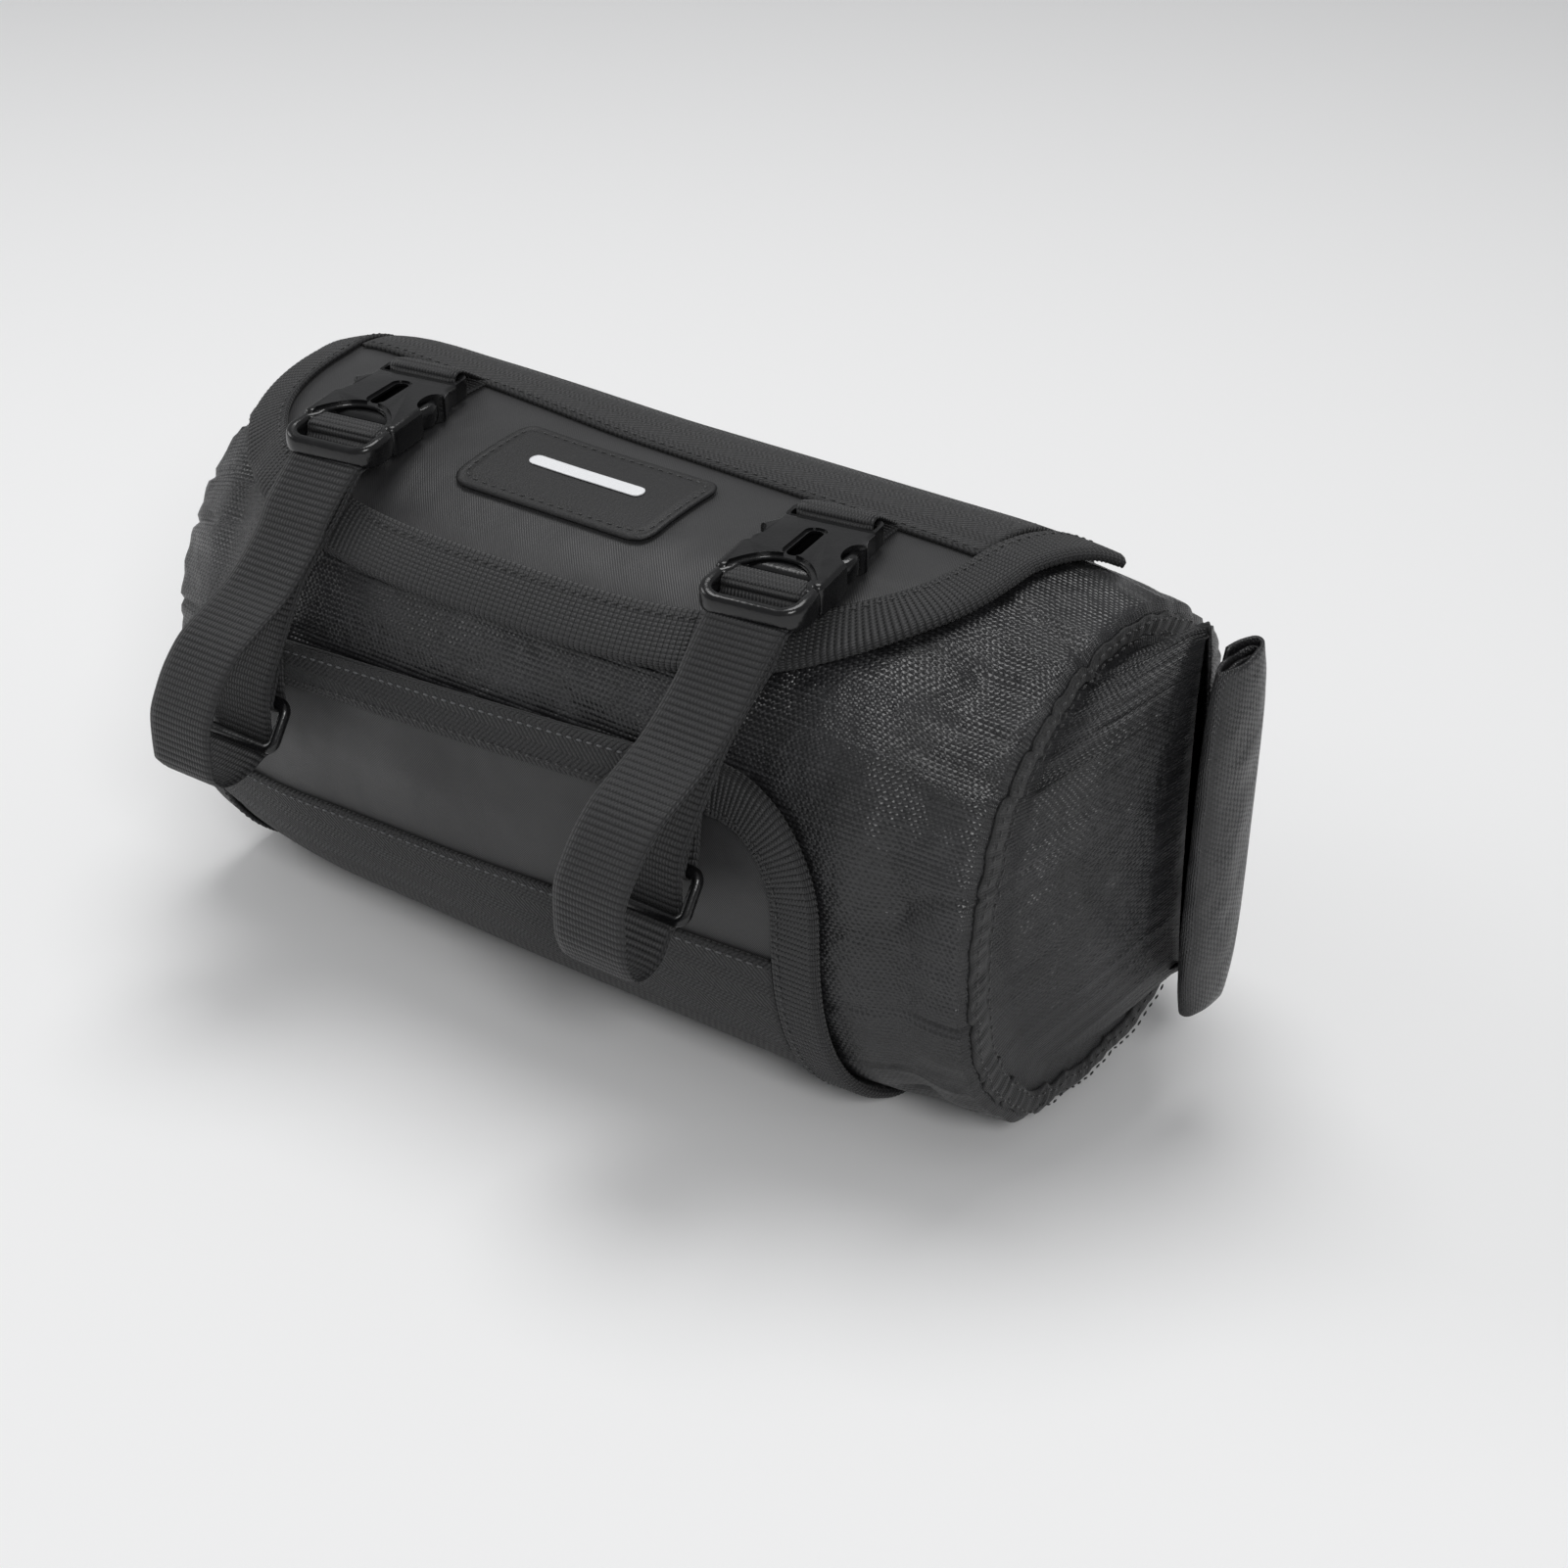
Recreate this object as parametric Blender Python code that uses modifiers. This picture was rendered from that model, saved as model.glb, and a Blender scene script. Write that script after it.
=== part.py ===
"""A bicycle handlebar bag: a roll-closed dry bag held in a strapped fabric holster.

Metres, +Z up. The bag lies along X and its front faces -Y. It rests on its
underside, and the origin is below the middle of its box.

A place on the bag's skin is given as x and turn. A turn is an angle round the
bag's centre line: 0 is the front, 90 degrees the crown, 180 the back and -90
the underside. An arc is a turn as a length along the bag's mean girth.
"""

import math
from collections import namedtuple

import bmesh
import bpy
from mathutils import Matrix, Vector

# Dry bag
BAG_DEPTH = 0.154  # front to back
BAG_RISE = 0.084  # centre line to crown
BAG_DROP = 0.081  # centre line to underside, before it settles
BAG_SETTLE = 0.005  # how far the underside is pressed flat
SETTLE_BLEND = 0.003  # depth over which it rounds into the flat
BAG_WALL = 0.0012  # coated ripstop, doubled
RIM_LEFT = 0.140  # middle of the holster to the folded rim
RIM_RIGHT = 0.163
FOLD_DEPTH = 0.006  # deepest dent in the skin

# Rolled ends
SLOT_WIDTH = 0.009  # flattened mouth of the tube, front to back
BAND_THICK = 0.0012  # pleated hem band on the end face
PLEAT_DEPTH = 0.0007

# Holster
PANEL_THICK = 0.0016  # coated fabric on foam
TAPE_THICK = 0.0012
CLEAR = 0.0003  # between one layer and the next
PANEL_HALF = 0.129  # middle of the lower panels to a side edge
PANEL_SHIFT = -0.009  # how far those panels lie towards -X
PANEL_CORNER = 0.036
FLAP_HALF = 0.134
FLAP_FLARE = 0.008  # how much wider each half of the flap gets behind the crown
FLAP_POWER = 2.9  # how square the flap's rounded corners are: 2 is an ellipse
FLAP_ARC = 0.057  # front line to the flap's hem
CROWN_ARC = 0.129  # front line to the tape behind the crown
CROWN_LEAN = -0.045  # how far that tape slants, for each metre along the bag
MOUTH_ARC = 0.035  # front line to the front panel's mouth
MOUTH_LEAN = 0.055
SEAM_ARC = 0.048  # front line down to the seam of front and base
BACK_SEAM_ARC = 0.186  # front line down to the seam of base and back
BACK_TAPE_WIDTH = 0.038
BINDING_WIDTH = 0.0125
MOUTH_TAPE_WIDTH = 0.013
BOTTOM_TAPE_WIDTH = 0.030
PATCH_LENGTH = 0.074
PATCH_WIDTH = 0.034
PATCH_THICK = 0.0016
PATCH_CORNER = 0.006
PATCH_ARC = 0.102  # front line to the middle of the patch
BAR_LENGTH = 0.042
BAR_WIDTH = 0.0045
BAR_THICK = 0.0004

# Straps and their rings
STRAP_WIDTH = 0.025
STRAP_THICK = 0.0013
STRAP_SPACING = 0.160
BUCKLE_SHIFT = 0.003  # how far the buckles lie towards +X of an even spacing
RING_SHIFT = -0.008
LOOP_REACH = 0.038  # how far the loop stands out in front of the bag
RING_WIRE = 0.0036
RING_HEIGHT = 0.016
RING_WIDTH = 0.034
RING_ARC = 0.001  # front line to the ring's lower bar
RING_STAND = 0.0098  # how far the ring's lower bar leans out from the panel
RING_CORNER = 0.0028

# Side-release buckle, as if seen from above with its front towards -Y
BUCKLE_WIDTH = 0.033
BUCKLE_LENGTH = 0.058
BUCKLE_THICK = 0.010
BUCKLE_TURN = math.radians(8)
BUCKLE_TILT = math.radians(3)
FRAME_LENGTH = 0.028
FRAME_THICK = 0.0085
BAR_DEPTH = 0.0038  # the bars that the webbing runs over
PRONG_THICK = 0.004
SHELL_WALL = 0.0018
TAIL_THICK = 0.006  # the shell's rear bar
TAB_LENGTH = 0.013

# The buckle's plan, as shares of BUCKLE_LENGTH from its front edge
FRONT_BAR = (0.0, 0.075)
MIDDLE_BAR = (0.21, 0.285)
FRAME_BODY = (0.40, FRAME_LENGTH / BUCKLE_LENGTH)
SHELL = (FRAME_LENGTH / BUCKLE_LENGTH + 0.006, 0.87)
REAR_SLOT = (0.885, 0.945)
RAIL_WIDTH = (BUCKLE_WIDTH - STRAP_WIDTH) / 2 - 0.0005
WAIST_HALF = 0.46 * BUCKLE_WIDTH
TAIL_HALF = 0.435 * BUCKLE_WIDTH
OVERLAP = 0.0012  # how far two pieces run into each other before they are joined

# Loops on the back for a handlebar
BAR_LOOP_WIDTH = 0.025
BAR_LOOP_THICK = 0.003
BAR_LOOP_BORE = 0.034
BAR_LOOP_SPACING = 0.110
BAR_LOOP_HEIGHT = 0.004  # above the bag's centre line

AROUND = 32  # facets round the bag
CELL = 0.024  # longest facet along a panel
LONG_CELL = 0.036  # the same where it lies straight on the skin's own facets
ROUND_CELL = 0.012  # facets of a panel round the bag
FINE_CELL = 0.009  # facets where a panel bends sharply
EDGE_SHARE = 0.5  # share of a panel, from its middle, where facets may be longest

# From the holster's middle to the middle of the whole bag's box
BOX_MIDDLE_X = 0.0165
BOX_MIDDLE_Y = 0.0020

MEAN_RADIUS = (BAG_DEPTH / 2 + BAG_RISE) / 2
PANEL_OUT = 2.5 * CLEAR  # skin to the inner face of a panel
TAPE_OUT = PANEL_OUT + PANEL_THICK + CLEAR
OVER_TAPE = TAPE_OUT + TAPE_THICK + CLEAR
CENTRE = BAG_DROP - BAG_SETTLE + TAPE_OUT + TAPE_THICK

# The bag's section at shares of the way from its middle to each rim. Rise, drop
# and depth are shares of the sizes above, and square is how boxy its upper
# front corner is: 2 is an ellipse.
Station = namedtuple("Station", "along rise drop depth square")
STATIONS = (
    Station(-1.00, 0.915, 0.96, 0.85, 2.05),
    Station(-0.50, 1.015, 1.00, 1.01, 3.1),
    Station(0.00, 0.990, 1.00, 1.03, 3.4),
    Station(0.65, 0.990, 1.00, 1.02, 3.1),
    Station(1.00, 0.930, 0.95, 0.97, 2.1),
)
# Where the skin's facets meet along the bag, in the same shares
KNOTS = (-1.0, -0.87, -0.7, -0.45, -0.1, 0.25, 0.55, 0.72, 0.85, 0.93, 1.0)
SQUARE_BACK = 2.12
SQUARE_BELOW = 2.3

# Dents in the skin: along and length are shares of the way to the right rim,
# turn and width are in degrees, and depth is a share of FOLD_DEPTH.
Fold = namedtuple("Fold", "along turn length width depth")
FOLDS = (
    Fold(0.90, 58, 0.07, 16, -0.9),
    Fold(0.98, 38, 0.05, 9, 0.5),
    Fold(0.88, -2, 0.05, 40, -0.5),
    Fold(0.80, 24, 0.06, 10, 0.3),
    Fold(0.86, -46, 0.05, 10, -0.5),
    Fold(0.45, 4, 0.20, 9, 0.25),
    Fold(-0.20, 2, 0.25, 8, 0.25),
    Fold(-0.80, 45, 0.05, 20, -0.4),
    Fold(-0.87, 104, 0.20, 24, 0.8),
)

# The tube beyond a rim: reach is a share of the end's own reach, narrow is the
# share taken off its depth, shorten off its height, and lift a share of the
# end's own lift.
EndRow = namedtuple("EndRow", "reach narrow shorten lift")
END_ROWS = (
    EndRow(0.06, 0.03, 0.03, 0.00),
    EndRow(0.04, 0.19, 0.12, 0.00),
    EndRow(0.10, 0.30, 0.18, 0.10),
    EndRow(0.55, 0.50, 0.22, 0.55),
    EndRow(0.90, 0.74, 0.25, 0.95),
)
SLOT_SHORTEN = 0.26

# Each end: side is +1 towards +X, reach is from the rim to the roll, lift is how
# far the slot's middle lies above the centre line, and back how far behind it.
# The roll has its own length and thickness, and lean moves its top back.
End = namedtuple("End", "name side rim reach lift back roll thick lean")
ENDS = (
    End("left", -1, RIM_LEFT, 0.012, -0.004, 0.016, 0.112, 0.015, 0.030),
    End("right", 1, RIM_RIGHT, 0.022, 0.020, 0.014, 0.112, 0.015, 0.006),
)
ROLL_DEPTH = 0.034
ROLL_DROP = 0.006  # how far a roll's middle lies below its slot's

# Each strap: its side, and how far its loop hangs below the ring's lower bar, as
# a share of the way from there up to the buckle.
Strap = namedtuple("Strap", "name side hang")
STRAPS = (Strap("left", -1, 0.08), Strap("right", 1, 0.15))

# Side outline of a strap's loop, from the ring up the inner run and down the
# outer run. Forward is a share of LOOP_REACH before the bag's front, and height
# a share of the way from the ring's lower bar up to the buckle.
LoopPoint = namedtuple("LoopPoint", "forward height")
INNER_RUN = (
    LoopPoint(0.25, 0.10),
    LoopPoint(0.24, 0.22),
    LoopPoint(0.16, 0.36),
    LoopPoint(0.08, 0.50),
    LoopPoint(0.00, 0.62),
    LoopPoint(-0.12, 0.72),
    LoopPoint(-0.29, 0.82),
)
OUTER_RUN = (
    LoopPoint(-0.17, 0.86),
    LoopPoint(-0.09, 0.77),
    LoopPoint(0.03, 0.69),
    LoopPoint(0.20, 0.60),
    LoopPoint(0.44, 0.53),
    LoopPoint(0.67, 0.46),
    LoopPoint(0.81, 0.37),
    LoopPoint(0.89, 0.27),
    LoopPoint(0.94, 0.16),
    LoopPoint(0.95, 0.00),
)
# The bend below the ring: height is a share of how far the strap hangs there.
BEND = (
    LoopPoint(0.93, -0.35),
    LoopPoint(0.84, -0.85),
    LoopPoint(0.68, -1.00),
    LoopPoint(0.50, -0.80),
)

# The webbing's way through a buckle's frame, from below its front bar, up behind
# its middle bar and back under the front bar. Along is a share of BUCKLE_LENGTH,
# and above is in thicknesses of webbing over the middle of the bars.
Weave = namedtuple("Weave", "along above")
WEAVE = (
    Weave(0.040, -4.20),
    Weave(0.140, -4.15),
    Weave(0.215, -3.20),
    Weave(0.300, -2.80),
    Weave(0.322, -1.70),
    Weave(0.324, 1.25),
    Weave(0.300, 2.75),
    Weave(0.205, 2.75),
    Weave(0.178, 1.85),
    Weave(0.164, -0.30),
    Weave(0.112, -1.60),
    Weave(0.070, -1.85),
    Weave(0.004, -2.05),
)


def clear_scene():
    for obj in list(bpy.data.objects):
        bpy.data.objects.remove(obj)


def collection(name):
    group = bpy.data.collections.new(name)
    bpy.context.scene.collection.children.link(group)
    return group


def material(name, colour, roughness, metallic=0.0):
    mat = bpy.data.materials.new(name)
    mat.use_nodes = True
    shader = mat.node_tree.nodes["Principled BSDF"]
    shader.inputs["Base Color"].default_value = (*colour, 1.0)
    shader.inputs["Roughness"].default_value = roughness
    shader.inputs["Metallic"].default_value = metallic
    return mat


def place(name, mesh, mat, group):
    """A mesh as an object of its own, smooth but for its sharp edges."""
    mesh.materials.clear()
    mesh.materials.append(mat)
    mesh.shade_smooth()
    mesh.set_sharp_from_angle(angle=math.radians(35))
    obj = bpy.data.objects.new(name, mesh)
    group.objects.link(obj)
    return obj


def blended(rows, at, column):
    """A table's column at a place along it, on a smooth curve through its rows."""
    if at <= rows[0].along:
        return getattr(rows[0], column)
    if at >= rows[-1].along:
        return getattr(rows[-1], column)
    last = next(i for i, row in enumerate(rows) if row.along > at)
    low, high = rows[last - 1], rows[last]
    share = (at - low.along) / (high.along - low.along)
    if low is rows[0]:
        ease = share * (2 - share)
    elif high is rows[-1]:
        ease = share * share
    else:
        ease = share * share * (3 - 2 * share)
    return getattr(low, column) + ease * (getattr(high, column) - getattr(low, column))


def turn_of(arc):
    return arc / MEAN_RADIUS


def share_along(x):
    return x / (RIM_RIGHT if x > 0 else RIM_LEFT)


def dent(x, turn):
    """How far the folds push the skin out at a place."""
    total = 0.0
    for fold in FOLDS:
        away = (share_along(x) - fold.along) / fold.length
        round_ = math.degrees(turn) - fold.turn
        round_ = (round_ + 180) % 360 - 180
        total += fold.depth * math.exp(-(away**2) - (round_ / fold.width) ** 2)
    return FOLD_DEPTH * total


def outline(x, turn):
    """(y, z) of the skin from the centre line, before the bag settles."""
    at = share_along(x)
    cos, sin = math.cos(turn), math.sin(turn)
    half = blended(STATIONS, at, "depth") * BAG_DEPTH / 2
    if sin > 0:
        tall = blended(STATIONS, at, "rise") * BAG_RISE
    else:
        tall = blended(STATIONS, at, "drop") * BAG_DROP
    front = min(1.0, max(0.0, 0.5 + 1.1 * cos))
    top = SQUARE_BACK + (blended(STATIONS, at, "square") - SQUARE_BACK) * front
    power = SQUARE_BELOW + (top - SQUARE_BELOW) * min(1.0, max(0.0, 1.6 * sin))
    reach = (abs(cos / half) ** power + abs(sin / tall) ** power) ** (-1 / power)
    reach += dent(x, turn)
    return -reach * cos, reach * sin


def skin(x, turn, out=0.0):
    """A point at a distance out from the bag's skin."""
    step = math.radians(1.0)
    y, z = outline(x, turn)
    y_low, z_low = outline(x, turn - step)
    y_high, z_high = outline(x, turn + step)
    along = Vector((y_high - y_low, z_high - z_low)).normalized()
    y -= along.y * out
    z += along.x * out
    floor = TAPE_OUT + TAPE_THICK - out
    above = CENTRE + z - floor
    blend = max(0.0, SETTLE_BLEND - abs(above)) ** 2 / (4 * SETTLE_BLEND)
    return Vector((x, y, floor + max(0.0, above) + blend))


def grid_mesh(name, columns, rows, point, close=False):
    """A grid of columns by rows cells, with each corner moved to point(i, j)."""
    bm = bmesh.new()
    bmesh.ops.create_grid(bm, x_segments=columns, y_segments=rows, size=0.5)
    for vert in bm.verts:
        i = round((vert.co.x + 0.5) * columns)
        j = round((vert.co.y + 0.5) * rows)
        vert.co = point(i, j)
    if close:
        bmesh.ops.remove_doubles(bm, verts=bm.verts, dist=1e-6)
    mesh = bpy.data.meshes.new(name)
    bm.to_mesh(mesh)
    bm.free()
    return mesh


def thicken(obj, thick):
    """A wall from an open surface, outwards from it, or inwards if thick is negative."""
    wall = obj.modifiers.new("Wall", "SOLIDIFY")
    wall.thickness = abs(thick)
    wall.offset = 1 if thick > 0 else -1
    wall.use_even_offset = True
    wall.use_quality_normals = True
    return obj


def shared_arcs(low, high):
    """Arcs from low to high at the skin's own facets, so that layers stay parallel."""
    step = 2 * math.pi * MEAN_RADIUS / AROUND
    first = math.ceil(low / step + 0.15)
    last = math.floor(high / step - 0.15)
    return [low, *(n * step for n in range(first, last + 1)), high]


def even_arcs(low, high, cell):
    count = math.ceil((high - low) / cell)
    return [low + (high - low) * n / count for n in range(count + 1)]


def rounded_half(half, corner, beyond):
    """Half the width of a panel, this far in from its rounded edge."""
    if beyond >= corner:
        return half
    return half - corner + math.sqrt(max(corner**2 - (corner - beyond) ** 2, 0.0))


def flap_half(arc):
    """Half the width of the flap at an arc."""
    if arc > CROWN_ARC:
        share = min(1.0, (arc - CROWN_ARC) / BACK_TAPE_WIDTH)
        return FLAP_HALF + FLAP_FLARE * share
    share = min(0.99, (CROWN_ARC - arc) / (CROWN_ARC - FLAP_ARC))
    return FLAP_HALF * (1 - share**FLAP_POWER) ** (1 / FLAP_POWER)


def panel(name, arcs, half_at, mat, group, out=PANEL_OUT, thick=PANEL_THICK, low_lean=0.0,
          high_lean=0.0, shift=0.0, cell=CELL):
    """A sheet round the bag through a list of arcs, with its half width at each."""
    halves = [half_at(arc) for arc in arcs]
    widest = max(halves)
    middle = EDGE_SHARE * widest
    cells = math.ceil(middle / cell)
    marks = [middle * n / cells for n in range(cells)]
    cells = math.ceil((widest - middle) / cell * 2)
    marks += [middle + (widest - middle) * n / cells for n in range(cells + 1)]
    marks = [-mark for mark in reversed(marks[1:])] + marks
    span = arcs[-1] - arcs[0]

    def point(i, j):
        x = shift + max(-halves[j], min(halves[j], marks[i]))
        share = (arcs[j] - arcs[0]) / span
        lean = low_lean + (high_lean - low_lean) * share
        return skin(x, turn_of(arcs[j] + lean * x), out)

    mesh = grid_mesh(name, len(marks) - 1, len(arcs) - 1, point, close=True)
    return thicken(place(name, mesh, mat, group), thick)


def ribbon(name, centres, widths, mat, group, thick, cells=1):
    """A strip of webbing: its middle line, and at each point its half width as a vector."""

    def point(i, j):
        return centres[j] + widths[j] * (2 * i / cells - 1)

    mesh = grid_mesh(name, cells, len(centres) - 1, point, close=True)
    return thicken(place(name, mesh, mat, group), thick)


def mirrored(path):
    """A path of (x, arc) that ends at the middle, with its other half added."""
    return path + [(-x, arc) for x, arc in reversed(path[:-1])]


def flap_path():
    """(x, arc) along the flap's edge, from its back left corner to its back right."""
    path = [(-flap_half(arc), arc) for arc in even_arcs(CROWN_ARC, CROWN_ARC + BACK_TAPE_WIDTH, ROUND_CELL)]
    path.reverse()
    bends = 18
    for n in range(1, bends + 1):
        angle = math.pi / 2 * n / bends
        across = math.cos(angle) ** (2 / FLAP_POWER)
        down = math.sin(angle) ** (2 / FLAP_POWER)
        path.append((-FLAP_HALF * across, CROWN_ARC - (CROWN_ARC - FLAP_ARC) * down))
    return mirrored(path)


def side_path(side, back_arc):
    """(x, arc) along a side of the front panel, round its corner and under the bag."""
    run = PANEL_HALF - PANEL_CORNER
    path = []
    bends = 7
    for n in range(bends + 1):
        angle = math.pi / 2 * n / bends
        x = run + PANEL_CORNER * math.sin(angle)
        arc = MOUTH_ARC - PANEL_CORNER * (1 - math.cos(angle))
        share = (arc + SEAM_ARC) / (MOUTH_ARC + SEAM_ARC)
        x = PANEL_SHIFT + side * x
        path.append((x, arc + MOUTH_LEAN * share * x))
    edge, low = path[-1]
    return path + [(edge, -arc) for arc in even_arcs(-low, -back_arc, FINE_CELL)[1:]]


def inward(path, n):
    """The unit direction across a path of (x, arc), to its left as it runs."""
    before = path[max(n - 1, 0)]
    after = path[min(n + 1, len(path) - 1)]
    along = Vector((after[0] - before[0], after[1] - before[1])).normalized()
    return Vector((-along.y, along.x))


def binding(name, path, width, out, mat, group, side):
    """Tape sewn over a panel's edge: it follows the path and lies inside it."""

    def point(i, j):
        across = inward(path, j) * side
        x = path[j][0] + across.x * width * i / 2
        arc = path[j][1] + across.y * width * i / 2
        return skin(x, turn_of(arc), out)

    mesh = grid_mesh(name, 2, len(path) - 1, point)
    if side > 0:
        mesh.flip_normals()
    return thicken(place(name, mesh, mat, group), TAPE_THICK)


def end_point(row, end, turn):
    """A point of the tube beyond a rim."""
    rim = end.side * end.rim
    on_rim = skin(rim, turn)
    y = on_rim.y * (1 - row.narrow) + end.back * row.lift
    z = CENTRE + (on_rim.z - CENTRE) * (1 - row.shorten) + end.lift * row.lift
    return Vector((rim + end.side * end.reach * row.reach, y, z))


def dry_bag(mat, group):
    """The tube, its folded rims and the gussets that narrow to a slot at each end."""
    slot = EndRow(1.0, 1 - SLOT_WIDTH / BAG_DEPTH, SLOT_SHORTEN, 1.0)
    rows = [*END_ROWS, slot]
    left, right = ENDS
    body = [share * (RIM_RIGHT if share > 0 else RIM_LEFT) for share in KNOTS]
    rings = len(rows) * 2 + len(body)

    def point(i, j):
        turn = 2 * math.pi * j / AROUND
        if i < len(rows):
            return end_point(rows[len(rows) - 1 - i], left, turn)
        if i < len(rows) + len(body):
            return skin(body[i - len(rows)], turn)
        return end_point(rows[i - len(rows) - len(body)], right, turn)

    mesh = grid_mesh("dry_bag", rings - 1, AROUND, point, close=True)
    return thicken(place("dry_bag", mesh, mat, group), -BAG_WALL)


def end_band(end, mat, group):
    """The pleated hem band that lies on the end face, just inside the rim."""
    outer, inner = END_ROWS[0], END_ROWS[1]
    gap = CLEAR / end.reach

    def point(i, j):
        turn = 2 * math.pi * j / AROUND
        share = 0.10 + 0.80 * i
        row = EndRow(
            outer.reach + (inner.reach - outer.reach) * share + gap,
            outer.narrow + (inner.narrow - outer.narrow) * share,
            outer.shorten + (inner.shorten - outer.shorten) * share,
            0.0,
        )
        pleat = PLEAT_DEPTH * (j % 2) * i
        return end_point(row, end, turn) + Vector((end.side * pleat, 0, 0))

    mesh = grid_mesh("end_band_" + end.name, 1, AROUND, point, close=True)
    if end.side > 0:
        mesh.flip_normals()
    return thicken(place("end_band_" + end.name, mesh, mat, group), -BAND_THICK)


def end_roll(end, mat, group):
    """The tube's end, flattened and wound into a roll that stands across the end."""
    near = end.side * (end.rim + end.reach + CLEAR)
    facets, levels = 14, 8

    def point(i, j):
        angle = 2 * math.pi * j / facets
        share = i / levels
        # the windings slip towards the ends, so each end is a blunt dome
        slip = abs(2 * share - 1) ** 5
        thick = end.thick / 2 * (1 - 0.42 * slip)
        deep = ROLL_DEPTH / 2 * (1 - 0.30 * slip)
        x = near + end.side * (end.thick / 2 - thick * math.cos(angle))
        y = end.back + end.lean * (share - 0.5) + deep * math.sin(angle)
        z = CENTRE + end.lift - ROLL_DROP + end.roll * (share - 0.5)
        return Vector((x, y, z))

    mesh = grid_mesh("end_roll_" + end.name, levels, facets, point, close=True)
    bm = bmesh.new()
    bm.from_mesh(mesh)
    bmesh.ops.holes_fill(bm, edges=[edge for edge in bm.edges if edge.is_boundary])
    bmesh.ops.recalc_face_normals(bm, faces=bm.faces)
    bm.to_mesh(mesh)
    bm.free()
    return place("end_roll_" + end.name, mesh, mat, group)


def slab(name, loops, thick, mat, group):
    """A flat plate: the first loop of (x, y) is its outline and the rest are holes."""
    curve = bpy.data.curves.new(name, "CURVE")
    curve.dimensions = "2D"
    curve.fill_mode = "BOTH"
    curve.extrude = thick / 2
    for loop in loops:
        spline = curve.splines.new("POLY")
        spline.points.add(len(loop) - 1)
        for point, (x, y) in zip(spline.points, loop):
            point.co = (x, y, 0, 1)
        spline.use_cyclic_u = True
    guide = bpy.data.objects.new(name + "_outline", curve)
    group.objects.link(guide)
    graph = bpy.context.evaluated_depsgraph_get()
    mesh = bpy.data.meshes.new_from_object(guide.evaluated_get(graph))
    bpy.data.objects.remove(guide)
    bm = bmesh.new()
    bm.from_mesh(mesh)
    bmesh.ops.remove_doubles(bm, verts=bm.verts, dist=1e-6)
    bmesh.ops.recalc_face_normals(bm, faces=bm.faces)
    bm.to_mesh(mesh)
    bm.free()
    return place(name, mesh, mat, group)


def rectangle(low_x, high_x, low_y, high_y):
    return [(high_x, high_y), (low_x, high_y), (low_x, low_y), (high_x, low_y)]


def rounded_box(low_x, high_x, low_y, high_y, corner, steps=3):
    """A rectangle's outline with round corners."""
    loop = []
    for centre_x, centre_y, start in (
        (high_x - corner, high_y - corner, 0),
        (low_x + corner, high_y - corner, 90),
        (low_x + corner, low_y + corner, 180),
        (high_x - corner, low_y + corner, 270),
    ):
        for n in range(steps + 1):
            angle = math.radians(start + 90 * n / steps)
            loop.append((centre_x + corner * math.cos(angle),
                         centre_y + corner * math.sin(angle)))
    return loop


def join(obj, other, operation, cutters):
    """Adds or takes away another piece with a Boolean, and keeps it as a hidden helper."""
    change = obj.modifiers.new(operation.title(), "BOOLEAN")
    change.operation = operation
    change.object = other
    other.hide_render = True
    other.display_type = "WIRE"
    for group in list(other.users_collection):
        group.objects.unlink(other)
    cutters.objects.link(other)


def box(name, low, high, mat, group):
    bm = bmesh.new()
    bmesh.ops.create_cube(bm, size=1.0)
    centre = (Vector(low) + Vector(high)) / 2
    size = Vector(high) - Vector(low)
    for vert in bm.verts:
        vert.co = Vector(a * b for a, b in zip(vert.co, size)) + centre
    mesh = bpy.data.meshes.new(name)
    bm.to_mesh(mesh)
    bm.free()
    return place(name, mesh, mat, group)


def buckle_male(name, mat, group, cutters):
    """The frame with its two bars, and the prongs that reach into the shell."""
    half = BUCKLE_WIDTH / 2
    slot_half = half - RAIL_WIDTH
    long = BUCKLE_LENGTH
    back = FRAME_BODY[1] * long
    outer = rounded_box(-half, half, 0, back, 0.005, 2)
    holes = [
        rectangle(-slot_half, slot_half, FRONT_BAR[1] * long, MIDDLE_BAR[0] * long),
        rectangle(-slot_half, slot_half, MIDDLE_BAR[1] * long, FRAME_BODY[0] * long),
    ]
    frame = slab(name, [outer, *holes], BAR_DEPTH, mat, group)
    inside = TAIL_HALF - SHELL_WALL
    reach = SHELL[1] * long - SHELL_WALL - 0.005
    for side in (-1, 1):
        edges = sorted((side * (half - RAIL_WIDTH + 0.0002), side * (half - 0.0002)))
        plan = rectangle(*edges, FRONT_BAR[1] * long, back - 0.0004)
        rail = slab(f"{name}_rail_{side}", [plan], FRAME_THICK, mat, group)
        join(frame, rail, "UNION", cutters)
        edges = sorted((side * (inside - 0.0042), side * (inside - 0.0006)))
        plan = rectangle(*edges, back - OVERLAP, reach)
        prong = slab(f"{name}_prong_{side}", [plan], PRONG_THICK, mat, group)
        join(frame, prong, "UNION", cutters)
    return frame


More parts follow.
